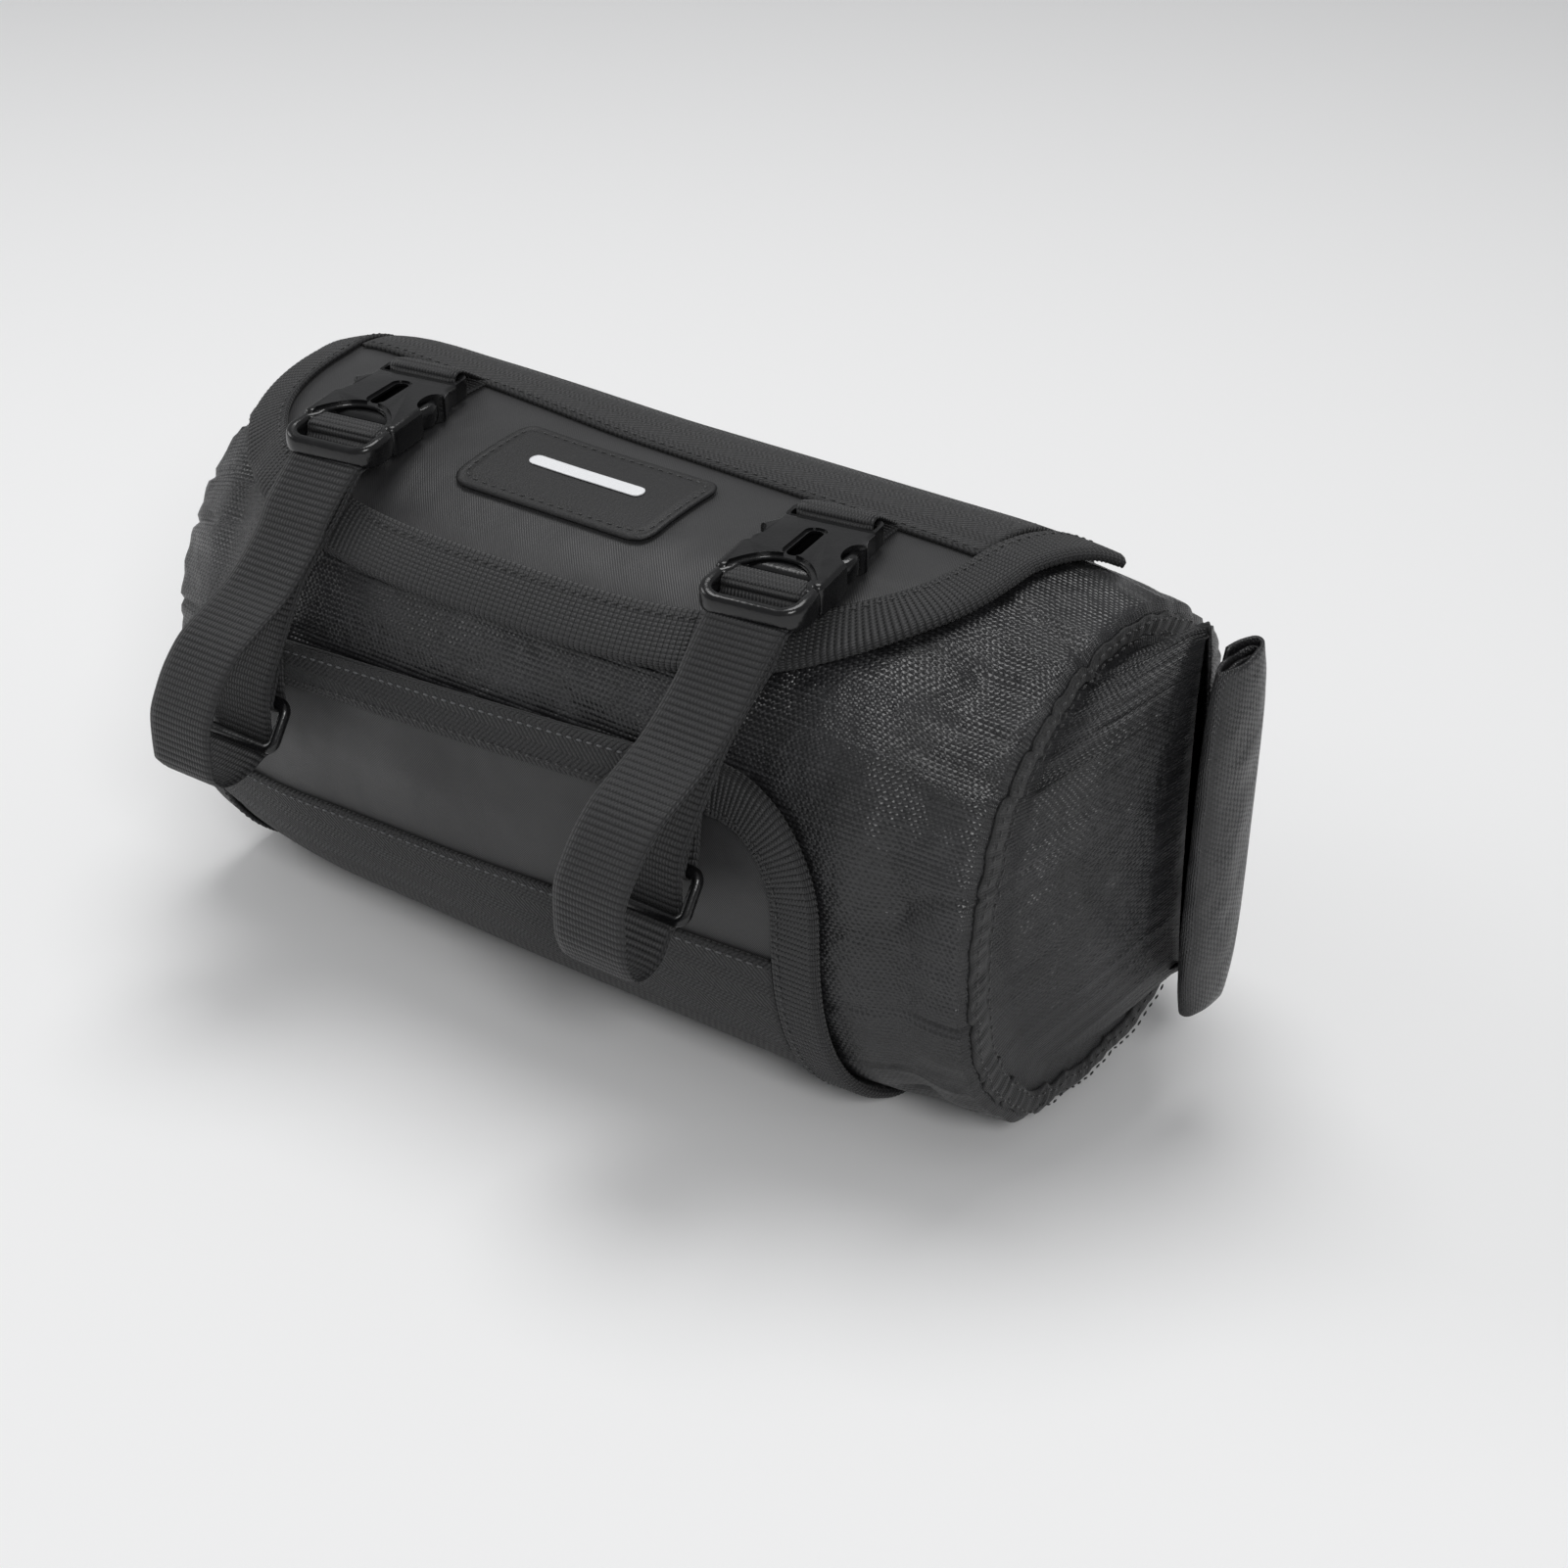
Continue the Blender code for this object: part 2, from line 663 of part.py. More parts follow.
def buckle_female(name, mat, group, cutters):
    """The shell, open to the prongs in front, and the bar behind it for its tab."""
    half = BUCKLE_WIDTH / 2
    long = BUCKLE_LENGTH
    front, rear = SHELL[0] * long, SHELL[1] * long
    plan = [(-half, front), (half, front), (half, front + 0.007),
            (WAIST_HALF, front + 0.014), (TAIL_HALF, rear), (-TAIL_HALF, rear),
            (-WAIST_HALF, front + 0.014), (-half, front + 0.007)]
    shell = slab(name, [plan], BUCKLE_THICK, mat, group)
    room = BUCKLE_THICK / 2 - SHELL_WALL
    inside = TAIL_HALF - SHELL_WALL
    cavity = box(name + "_cavity", (-inside, front - OVERLAP, -room),
                 (inside, rear - 3 * SHELL_WALL, room), mat, group)
    join(shell, cavity, "DIFFERENCE", cutters)
    slot_half = STRAP_WIDTH / 2 + 0.0004
    outer = rounded_box(-TAIL_HALF + 0.0003, TAIL_HALF - 0.0003, rear - OVERLAP, long, 0.0015, 2)
    slot = rectangle(-slot_half, slot_half, REAR_SLOT[0] * long, REAR_SLOT[1] * long)
    loop = slab(name + "_loop", [outer, slot], TAIL_THICK, mat, group)
    join(shell, loop, "UNION", cutters)
    return shell


def tape_front(x):
    """The arc at which the tape behind the crown begins."""
    return CROWN_ARC + CROWN_LEAN * x


def buckle_place(side):
    """Where a buckle's own plan lies: its front centre, turned and tilted."""
    x = side * STRAP_SPACING / 2 + BUCKLE_SHIFT
    rear = skin(x, turn_of(tape_front(x) - TAB_LENGTH), PANEL_OUT + PANEL_THICK)
    middle = rear.z + BUCKLE_THICK / 2 + 2 * CLEAR
    turned = Matrix.Rotation(BUCKLE_TURN, 4, "Z") @ Matrix.Rotation(BUCKLE_TILT, 4, "X")
    front = turned @ Vector((0, -BUCKLE_LENGTH, 0))
    return Matrix.Translation(Vector((x, rear.y, middle)) + front) @ turned


def ring_bars(side):
    """The middles of a ring's lower and upper bars."""
    x = side * STRAP_SPACING / 2 + RING_SHIFT
    base = skin(x, turn_of(RING_ARC), OVER_TAPE)
    lower = base - Vector((0, RING_WIRE / 2 + RING_STAND, 0))
    rise = 0.95 * (RING_HEIGHT - RING_WIRE)
    upper = base + Vector((0, -RING_WIRE / 2 - TAPE_THICK - 2 * CLEAR, rise))
    return lower, upper


def strap(spec, mat, group):
    """One loop of webbing: up from the ring, through the buckle, down and round again."""
    matrix = buckle_place(spec.side)
    lower, upper = ring_bars(spec.side)
    top = CENTRE + BAG_RISE + PANEL_OUT + PANEL_THICK
    front = skin(lower.x, turn_of(RING_ARC), PANEL_OUT + PANEL_THICK).y
    tall = top - lower.z
    hang = spec.hang * tall

    def hung(point, unit):
        return front - point.forward * LOOP_REACH, lower.z + point.height * unit

    under = RING_WIRE / 2 + CLEAR + STRAP_THICK
    inner = [(lower.y + under + 0.0005, lower.z), *(hung(point, tall) for point in INNER_RUN)]
    outer = [hung(point, tall) for point in OUTER_RUN]
    outer += [hung(point, hang) for point in BEND]
    outer += [(lower.y - under * 0.15, lower.z - under * 1.02),
              (lower.y + under * 0.65, lower.z - under * 0.84)]

    def leaning(y, z):
        start = upper.z + RING_WIRE
        share = max(0.0, (z - start) / (matrix.translation.z - start))
        return Vector((lower.x + (matrix.translation.x - lower.x) * share, y, z))

    path = [leaning(*spot) for spot in inner]
    across = [Vector((1, 0, 0))] * len(path)
    for step in WEAVE:
        path.append(matrix @ Vector((0, step.along * BUCKLE_LENGTH, step.above * STRAP_THICK)))
        across.append(matrix.to_3x3() @ Vector((1, 0, 0)))
    path += [leaning(*spot) for spot in outer]
    across += [Vector((1, 0, 0))] * len(outer)
    widths = [sum(across[max(n - 2, 0):n + 3], Vector()).normalized() * STRAP_WIDTH / 2
              for n in range(len(path))]
    return ribbon("strap_" + spec.name, path + path[:1], widths + widths[:1], mat, group,
                  STRAP_THICK)


def ring(spec, mat, group):
    """A moulded bar ring: a rounded rectangle of wire."""
    lower, upper = ring_bars(spec.side)
    down = (lower - upper).normalized()
    middle = (lower + upper) / 2
    half_wide = (RING_WIDTH - RING_WIRE) / 2
    half_tall = (lower - upper).length / 2
    loop = rounded_box(-half_wide, half_wide, -half_tall, half_tall, RING_CORNER, 2)
    curve = bpy.data.curves.new("ring_" + spec.name, "CURVE")
    curve.dimensions = "3D"
    curve.bevel_depth = RING_WIRE / 2
    curve.bevel_resolution = 1
    spline = curve.splines.new("POLY")
    spline.points.add(len(loop) - 1)
    for point, (x, y) in zip(spline.points, loop):
        point.co = (*(middle + Vector((x, 0, 0)) - down * y), 1)
    spline.use_cyclic_u = True
    obj = bpy.data.objects.new("ring_" + spec.name, curve)
    curve.materials.append(mat)
    group.objects.link(obj)
    return obj


def ring_tab(spec, mat, group):
    """Webbing folded round the ring's upper bar and sewn over the mouth tape."""
    _, upper = ring_bars(spec.side)
    x = upper.x
    top = MOUTH_ARC + MOUTH_LEAN * x - 2 * CLEAR
    low = upper.z - CENTRE + RING_WIRE
    down = [turn_of(top + (low - top) * n / 4) for n in range(5)]
    ply = OVER_TAPE + TAPE_THICK + CLEAR
    half = STRAP_WIDTH / 2 - 2 * CLEAR
    path, widths = [], []

    def lie(turn, out):
        ends = [skin(x + edge, turn + turn_of(MOUTH_LEAN * edge), out) for edge in (-half, half)]
        path.append((ends[0] + ends[1]) / 2)
        widths.append((ends[1] - ends[0]) / 2)

    for turn in down:
        lie(turn, ply)
    for n in range(8):
        angle = -math.pi * n / 6
        path.append(upper + Vector((0, math.cos(angle), math.sin(angle)))
                    * (RING_WIRE / 2 + CLEAR))
        widths.append(Vector((half, 0, 0)))
    for turn in reversed(down[:-2]):
        lie(turn, ply + CLEAR)
    return ribbon("ring_tab_" + spec.name, path, widths, mat, group, TAPE_THICK)


def buckle_tab(spec, mat, group):
    """Webbing folded round the shell's rear bar, with both ends at the back tape."""
    matrix = buckle_place(spec.side)
    long = BUCKLE_LENGTH
    lift = TAIL_THICK / 2 + CLEAR
    slot = REAR_SLOT[1] * long - CLEAR
    end = matrix @ Vector((0, long + TAB_LENGTH - 3 * CLEAR, 0))
    turn = turn_of(tape_front(end.x) - 4 * CLEAR)
    ply = TAPE_OUT + TAPE_THICK
    path = [skin(end.x, turn, ply)]
    for y, z in ((long + CLEAR, -lift), (slot, -lift), (slot, lift), (long + CLEAR, lift)):
        path.append(matrix @ Vector((0, y, z)))
    path.append(skin(end.x, turn, ply + CLEAR))
    half = STRAP_WIDTH / 2 - 2 * CLEAR
    turned = matrix.to_3x3() @ Vector((half, 0, 0))
    level = Vector((half, CROWN_LEAN * -half, 0))
    widths = [level, *[turned] * 4, level]
    return ribbon("buckle_tab_" + spec.name, path, widths, mat, group, TAPE_THICK)


def patch(mat, group):
    """A plain rubber badge with round corners, sewn to the flap."""
    low, high = PATCH_ARC - PATCH_WIDTH / 2, PATCH_ARC + PATCH_WIDTH / 2
    bends = [PATCH_CORNER * share for share in (0.15, 0.5, 1.0)]
    arcs = [low, *(low + bend for bend in bends), PATCH_ARC,
            *(high - bend for bend in reversed(bends)), high]

    def half_at(arc):
        beyond = PATCH_WIDTH / 2 - abs(arc - PATCH_ARC)
        return rounded_half(PATCH_LENGTH / 2, PATCH_CORNER, beyond)

    return panel("patch", arcs, half_at, mat, group, TAPE_OUT, PATCH_THICK)


def patch_bar(mat, group):
    """One slim reflective bar along the middle of the badge."""
    arcs = [PATCH_ARC - BAR_WIDTH / 2, PATCH_ARC + BAR_WIDTH / 2]
    return panel("patch_bar", arcs, lambda _: BAR_LENGTH / 2, mat, group,
                 TAPE_OUT + PATCH_THICK + CLEAR, BAR_THICK)


def bar_loop(side, name, mat, group):
    """A plain strap on the back, closed round the place of a handlebar."""
    x = side * BAR_LOOP_SPACING / 2
    height = CENTRE + BAR_LOOP_HEIGHT
    turn = math.pi - math.asin(BAR_LOOP_HEIGHT / (BAG_DEPTH / 2))
    back = skin(x, turn, PANEL_OUT + PANEL_THICK + 1.5 * CLEAR)
    radius = BAR_LOOP_BORE / 2
    facets = 16

    def point(i, j):
        angle = 2 * math.pi * j / facets
        across = x + (i - 0.5) * BAR_LOOP_WIDTH
        return Vector((across, back.y + radius + BAR_LOOP_THICK - radius * math.cos(angle),
                       height + radius * math.sin(angle)))

    mesh = grid_mesh("bar_loop_" + name, 1, facets, point, close=True)
    return thicken(place("bar_loop_" + name, mesh, mat, group), BAR_LOOP_THICK)


def centre_box(*groups):
    """Moves everything so that the origin is below the middle of the bag's box."""
    shift = Matrix.Translation((-BOX_MIDDLE_X, -BOX_MIDDLE_Y, 0))
    for group in groups:
        for obj in group.objects:
            obj.matrix_world = shift @ obj.matrix_world


def build():
    clear_scene()
    bag = collection("handlebar_bag")
    cutters = collection("cutters")
    ripstop = material("coated_ripstop", (0.030, 0.030, 0.032), 0.42)
    coated = material("coated_fabric", (0.035, 0.035, 0.037), 0.50)
    webbing = material("webbing", (0.018, 0.018, 0.019), 0.80)
    plastic = material("moulded_plastic", (0.020, 0.020, 0.021), 0.28)
    rubber = material("rubber", (0.016, 0.016, 0.017), 0.60)
    reflective = material("reflective_film", (0.80, 0.80, 0.80), 0.35)

    dry_bag(ripstop, bag)
    for end in ENDS:
        end_band(end, webbing, bag)
        end_roll(end, ripstop, bag)

    around = 2 * math.pi * MEAN_RADIUS
    flap_back = CROWN_ARC + BACK_TAPE_WIDTH
    back_seam = around - BACK_SEAM_ARC
    between = PANEL_HALF - BINDING_WIDTH - 2 * CLEAR

    def mouth_half(arc):
        return rounded_half(PANEL_HALF, PANEL_CORNER, MOUTH_ARC - arc + 0.0003)

    panel("flap", even_arcs(FLAP_ARC, CROWN_ARC, FINE_CELL)
          + even_arcs(CROWN_ARC, flap_back, ROUND_CELL)[1:], flap_half, coated, bag)
    lower = {"shift": PANEL_SHIFT}
    panel("front_panel", even_arcs(-SEAM_ARC, MOUTH_ARC, ROUND_CELL), mouth_half, coated, bag,
          high_lean=MOUTH_LEAN, **lower)
    panel("base_panel", shared_arcs(-BACK_SEAM_ARC, -SEAM_ARC - 2 * CLEAR),
          lambda _: PANEL_HALF, webbing, bag, **lower, cell=LONG_CELL)
    panel("back_panel", shared_arcs(flap_back + 2 * CLEAR, back_seam - 2 * CLEAR),
          lambda _: PANEL_HALF, coated, bag, **lower, cell=LONG_CELL)

    tape = {"out": TAPE_OUT + CLEAR / 3, "thick": TAPE_THICK}
    panel("flap_back_tape", even_arcs(CROWN_ARC, flap_back, FINE_CELL),
          lambda _: FLAP_HALF - BINDING_WIDTH - 2 * CLEAR, webbing, bag,
          low_lean=CROWN_LEAN, **tape)
    panel("mouth_tape", even_arcs(MOUTH_ARC - MOUTH_TAPE_WIDTH, MOUTH_ARC, ROUND_CELL),
          lambda _: PANEL_HALF - PANEL_CORNER - 10 * CLEAR, webbing, bag,
          low_lean=MOUTH_LEAN, high_lean=MOUTH_LEAN, **tape, **lower)
    panel("bottom_tape", even_arcs(-SEAM_ARC, BOTTOM_TAPE_WIDTH - SEAM_ARC, ROUND_CELL),
          lambda _: between, webbing, bag, high_lean=MOUTH_LEAN, **tape, **lower)
    panel("base_back_tape", even_arcs(back_seam - BOTTOM_TAPE_WIDTH / 2,
                                      back_seam + BOTTOM_TAPE_WIDTH / 2, ROUND_CELL),
          lambda _: between, webbing, bag, **tape, **lower)
    binding("flap_binding", flap_path(), BINDING_WIDTH, TAPE_OUT + 1.5 * CLEAR, webbing, bag, 1)
    for name, side in (("left", -1), ("right", 1)):
        binding("side_binding_" + name, side_path(side, -around + flap_back + 10 * CLEAR),
                BINDING_WIDTH, TAPE_OUT, webbing, bag, side * -1)
    patch(rubber, bag)
    patch_bar(reflective, bag)

    for spec in STRAPS:
        pieces = [buckle_male("buckle_male_" + spec.name, plastic, bag, cutters),
                  buckle_female("buckle_female_" + spec.name, plastic, bag, cutters)]
        pieces += [helper for helper in cutters.objects if "_" + spec.name in helper.name]
        for piece in pieces:
            piece.matrix_world = buckle_place(spec.side)
        strap(spec, webbing, bag)
        ring(spec, plastic, bag)
        ring_tab(spec, webbing, bag)
        buckle_tab(spec, webbing, bag)
        bar_loop(spec.side, spec.name, webbing, bag)
    centre_box(bag, cutters)


build()
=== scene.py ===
"""A bicycle handlebar bag: a roll-closed dry bag in a strapped fabric holster.

Lengths are metres. A place on the bag's skin is x and turn, as in the part: turn
is an angle round the bag's centre line, 0 at the front and 90 degrees at the
crown, and an arc is a turn as a length along the mean girth.
"""

import math
from collections import namedtuple
from functools import lru_cache

import bmesh
import bpy
from mathutils import Matrix, Vector, noise


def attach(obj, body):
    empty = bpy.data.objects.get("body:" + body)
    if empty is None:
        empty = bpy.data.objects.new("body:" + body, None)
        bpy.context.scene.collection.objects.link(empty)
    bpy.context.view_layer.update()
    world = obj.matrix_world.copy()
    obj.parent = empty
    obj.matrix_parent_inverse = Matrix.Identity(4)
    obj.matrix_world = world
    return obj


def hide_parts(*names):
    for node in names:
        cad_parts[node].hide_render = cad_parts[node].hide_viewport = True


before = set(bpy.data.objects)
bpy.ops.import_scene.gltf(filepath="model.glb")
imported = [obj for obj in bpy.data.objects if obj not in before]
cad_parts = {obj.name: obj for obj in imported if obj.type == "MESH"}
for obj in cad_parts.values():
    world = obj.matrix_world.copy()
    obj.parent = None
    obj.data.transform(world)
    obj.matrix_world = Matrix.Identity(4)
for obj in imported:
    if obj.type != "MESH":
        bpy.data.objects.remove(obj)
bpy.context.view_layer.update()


# Dry bag
# A tube of coated ripstop nylon, welded along its seams and stuffed full. It is
# folded in at both rims, where gussets gather it to the slots that are rolled up.
BAG_DEPTH = 0.154
BAG_RISE = 0.084
BAG_DROP = 0.081
BAG_SETTLE = 0.005
SETTLE_BLEND = 0.003
BAG_WALL = 0.0012
RIM_LEFT = 0.140
RIM_RIGHT = 0.163
FOLD_DEPTH = 0.006
SLOT_WIDTH = 0.009
CLEAR = 0.0003
PANEL_THICK = 0.0016
TAPE_THICK = 0.0012
MEAN_RADIUS = (BAG_DEPTH / 2 + BAG_RISE) / 2
GIRTH = 2 * math.pi * MEAN_RADIUS
PANEL_OUT = 2.5 * CLEAR
TAPE_OUT = PANEL_OUT + PANEL_THICK + CLEAR
OVER_TAPE = TAPE_OUT + TAPE_THICK + CLEAR
CENTRE = BAG_DROP - BAG_SETTLE + TAPE_OUT + TAPE_THICK
TO_BOX_MIDDLE = Matrix.Translation((-0.0165, -0.0020, 0))

Station = namedtuple("Station", "along rise drop depth square")
STATIONS = (
    Station(-1.00, 0.915, 0.96, 0.85, 2.05),
    Station(-0.50, 1.015, 1.00, 1.01, 3.1),
    Station(0.00, 0.990, 1.00, 1.03, 3.4),
    Station(0.65, 0.990, 1.00, 1.02, 3.1),
    Station(1.00, 0.930, 0.95, 0.97, 2.1),
)
SQUARE_BACK = 2.12
SQUARE_BELOW = 2.3

Fold = namedtuple("Fold", "along turn length width depth")
FOLDS = (
    Fold(0.90, 58, 0.07, 16, -0.9),
    Fold(0.98, 38, 0.05, 9, 0.5),
    Fold(0.88, -2, 0.05, 40, -0.5),
    Fold(0.80, 24, 0.06, 10, 0.3),
    Fold(0.86, -46, 0.05, 10, -0.5),
    Fold(0.45, 4, 0.20, 9, 0.25),
    Fold(-0.20, 2, 0.25, 8, 0.25),
    Fold(-0.80, 45, 0.05, 20, -0.4),
    Fold(-0.87, 104, 0.20, 24, 0.8),
)

EndRow = namedtuple("EndRow", "reach narrow shorten lift steps")
END_ROWS = (
    EndRow(0.00, 0.00, 0.00, 0.00, 1),
    EndRow(0.06, 0.03, 0.03, 0.00, 3),
    EndRow(0.04, 0.19, 0.12, 0.00, 5),
    EndRow(0.10, 0.30, 0.18, 0.10, 5),
    EndRow(0.55, 0.50, 0.22, 0.55, 8),
    EndRow(0.90, 0.74, 0.25, 0.95, 6),
    EndRow(1.00, 1 - SLOT_WIDTH / BAG_DEPTH, 0.26, 1.00, 3),
)
End = namedtuple("End", "name side rim reach lift back roll thick lean")
ENDS = (
    End("left", -1, RIM_LEFT, 0.012, -0.004, 0.016, 0.112, 0.015, 0.030),
    End("right", 1, RIM_RIGHT, 0.022, 0.020, 0.014, 0.112, 0.015, 0.006),
)
BAG_AROUND = 200
BAG_ALONG = 120
SLACK = 0.0011  # how far the fabric falls in between its folds
CREASE = 0.0032
GATHER = 0.0009
GATHERS = 34


def linear(code):
    """A colour from its sRGB hex code, as the shader's linear values."""
    parts = [int(code[n:n + 2], 16) / 255 for n in (0, 2, 4)]
    return (*(c / 12.92 if c <= 0.04045 else ((c + 0.055) / 1.055) ** 2.4 for c in parts), 1.0)


def add(tree, kind, settings, inputs):
    """A node with its settings. An input is a value, or the socket that feeds it."""
    made = tree.nodes.new(kind)
    for key, value in settings.items():
        setattr(made, key, value)
    for key, value in inputs.items():
        if isinstance(value, bpy.types.NodeSocket):
            tree.links.new(value, made.inputs[key])
        else:
            made.inputs[key].default_value = value
    return made


def finish(name, colour, roughness, values):
    """A material with its shader's constants, and its node tree and UV axes."""
    mat = bpy.data.materials.new(name)
    mat.use_nodes = True
    tree = mat.node_tree
    shader = tree.nodes["Principled BSDF"]
    shader.inputs["Base Color"].default_value = linear(colour)
    shader.inputs["Roughness"].default_value = roughness
    for key, value in values.items():
        shader.inputs[key].default_value = value
    place = add(tree, "ShaderNodeTexCoord", {}, {})
    axes = add(tree, "ShaderNodeSeparateXYZ", {}, {0: place.outputs["UV"]})
    return mat, tree, shader, place, axes.outputs[0], axes.outputs[1]


def ribs(tree, axis, pitch):
    """Rounded ridges of a pitch along an axis, from 0 to 1."""
    saw = add(tree, "ShaderNodeMath", {"operation": "PINGPONG"}, {0: axis, 1: pitch / 2})
    share = add(tree, "ShaderNodeMath", {"operation": "MULTIPLY"}, {0: saw.outputs[0], 1: math.pi / pitch})
    return add(tree, "ShaderNodeMath", {"operation": "SINE"}, {0: share.outputs[0]}).outputs[0]


def woven(tree, u, v, across, along):
    """A plain weave: rows of threads, each row shifted by half a thread."""
    row = add(tree, "ShaderNodeMath", {"operation": "PINGPONG"}, {0: v, 1: along})
    odd = add(tree, "ShaderNodeMath", {"operation": "GREATER_THAN"}, {0: row.outputs[0], 1: along / 2})
    shift = add(tree, "ShaderNodeMath", {"operation": "MULTIPLY_ADD"},
                {0: odd.outputs[0], 1: across / 2, 2: u})
    return add(tree, "ShaderNodeMath", {"operation": "MULTIPLY"},
               {0: ribs(tree, shift.outputs[0], across), 1: ribs(tree, v, along)}).outputs[0]


def blotches(tree, place, scale, detail, low, high):
    """Cloudy variation in object space, as a value from low to high."""
    cloud = add(tree, "ShaderNodeTexNoise", {}, {"Vector": place.outputs["Object"], "Scale": scale,
                                                  "Detail": detail})
    return add(tree, "ShaderNodeMapRange", {}, {0: cloud.outputs[0], 1: 0.3, 2: 0.7, 3: low,
                                               4: high}).outputs[0]


def relief(tree, shader, height, depth, after=None):
    """Bump of a depth in metres from a height of 0 to 1."""
    inputs = {"Height": height, "Distance": depth, "Strength": 1.0}
    if after:
        inputs["Normal"] = after.outputs[0]
    bump = add(tree, "ShaderNodeBump", {}, inputs)
    tree.links.new(bump.outputs[0], shader.inputs["Normal"])
    return bump


def tinted(tree, shader, dark, light, share):
    """Base colour between two sRGB codes by a share."""
    mix = add(tree, "ShaderNodeMix", {"data_type": "RGBA"},
              {0: share, 6: linear(dark), 7: linear(light)})
    tree.links.new(mix.outputs[2], shader.inputs["Base Color"])


def ripstop():
    """Polyurethane-coated ripstop nylon: a fine weave with thicker threads in a grid,
    which the coating leaves softly shiny. The real weave is half as coarse."""
    mat, tree, shader, place, u, v = finish("ripstop_nylon", "1c1c1d", 0.38, {
        "Specular IOR Level": 0.6})
    fine = woven(tree, u, v, 0.0017, 0.0015)
    rows = add(tree, "ShaderNodeMath", {"operation": "GREATER_THAN"},
               {0: ribs(tree, v, 0.0075), 1: 0.992})
    columns = add(tree, "ShaderNodeMath", {"operation": "GREATER_THAN"},
                  {0: ribs(tree, u, 0.0075), 1: 0.997})
    grid_ = add(tree, "ShaderNodeMath", {"operation": "MULTIPLY_ADD"},
                {0: columns.outputs[0], 1: 0.4, 2: rows.outputs[0]})
    height = add(tree, "ShaderNodeMath", {"operation": "MULTIPLY_ADD"},
                 {0: grid_.outputs[0], 1: 0.9, 2: fine})
    soft = relief(tree, shader, blotches(tree, place, 60, 4, 0, 1), 0.0014)
    relief(tree, shader, height.outputs[0], 0.00024, soft)
    worn = add(tree, "ShaderNodeMath", {"operation": "MULTIPLY_ADD", "use_clamp": True},
               {0: grid_.outputs[0], 1: 0.5, 2: blotches(tree, place, 38, 5, 0, 0.6)})
    tinted(tree, shader, "121213", "2c2c2e", worn.outputs[0])
    rough = blotches(tree, place, 55, 4, 0.29, 0.45)
    tree.links.new(rough, shader.inputs["Roughness"])
    return mat


@lru_cache(maxsize=None)
def blended(at, column):
    """A column of the stations at a place, on the same smooth curve as in the part."""
    if at <= STATIONS[0].along:
        return getattr(STATIONS[0], column)
    if at >= STATIONS[-1].along:
        return getattr(STATIONS[-1], column)
    last = next(i for i, row in enumerate(STATIONS) if row.along > at)
    low, high = STATIONS[last - 1], STATIONS[last]
    share = (at - low.along) / (high.along - low.along)
    if low is STATIONS[0]:
        ease = share * (2 - share)
    elif high is STATIONS[-1]:
        ease = share * share
    else:
        ease = share * share * (3 - 2 * share)
    return getattr(low, column) + ease * (getattr(high, column) - getattr(low, column))


def turn_of(arc):
    return arc / MEAN_RADIUS


def share_along(x):
    return x / (RIM_RIGHT if x > 0 else RIM_LEFT)


def outline(x, turn):
    """(y, z) of the skin from the centre line, before the bag settles."""
    at = share_along(x)
    cos, sin = math.cos(turn), math.sin(turn)
    half = blended(at, "depth") * BAG_DEPTH / 2
    tall = blended(at, "rise") * BAG_RISE if sin > 0 else blended(at, "drop") * BAG_DROP
    front = min(1.0, max(0.0, 0.5 + 1.1 * cos))
    top = SQUARE_BACK + (blended(at, "square") - SQUARE_BACK) * front
    power = SQUARE_BELOW + (top - SQUARE_BELOW) * min(1.0, max(0.0, 1.6 * sin))
    reach = (abs(cos / half) ** power + abs(sin / tall) ** power) ** (-1 / power)
    for fold in FOLDS:
        away = ((at - fold.along) / fold.length) ** 2
        if away < 9:
            off = (math.degrees(turn) - fold.turn + 180) % 360 - 180
            reach += FOLD_DEPTH * fold.depth * math.exp(-away - (off / fold.width) ** 2)
    return -reach * cos, reach * sin


def skin(x, turn, out=0.0):
    """A point at a distance out from the bag's skin."""
    step = math.radians(1.0)
    y, z = outline(x, turn)
    y_low, z_low = outline(x, turn - step)
    y_high, z_high = outline(x, turn + step)
    along = Vector((y_high - y_low, z_high - z_low)).normalized()
    y -= along.y * out
    z += along.x * out
    floor = TAPE_OUT + TAPE_THICK - out
    above = CENTRE + z - floor
    blend = max(0.0, SETTLE_BLEND - abs(above)) ** 2 / (4 * SETTLE_BLEND)
    return Vector((x, y, floor + max(0.0, above) + blend))


def grid(name, columns, rows, point, flat, close=False):
    """A grid with each corner moved to point(i, j), and flat(i, j) as its UV in metres."""
    bm = bmesh.new()
    layer = bm.loops.layers.uv.new("UVMap")
    bmesh.ops.create_grid(bm, x_segments=columns, y_segments=rows, size=0.5)
    spots = {}
    for vert in bm.verts:
        spots[vert] = (round((vert.co.x + 0.5) * columns), round((vert.co.y + 0.5) * rows))
    for face in bm.faces:
        for loop in face.loops:
            loop[layer].uv = flat(*spots[loop.vert])
    for vert, spot in spots.items():
        vert.co = point(*spot)
    if close:
        bmesh.ops.remove_doubles(bm, verts=bm.verts, dist=1e-6)
    mesh = bpy.data.meshes.new(name)
    bm.to_mesh(mesh)
    bm.free()
    return mesh


def piece(name, mesh, mat, slot, *nodes):
    """A finished mesh as a piece of the bag that stands for its nodes."""
    mesh.transform(TO_BOX_MIDDLE)
    mesh.materials.clear()
    mesh.materials.append(mat)
    mesh.shade_smooth()
    obj = bpy.data.objects.new(name, mesh)
    bpy.context.scene.collection.objects.link(obj)
    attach(obj, "root")
    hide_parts(*nodes)
    return obj


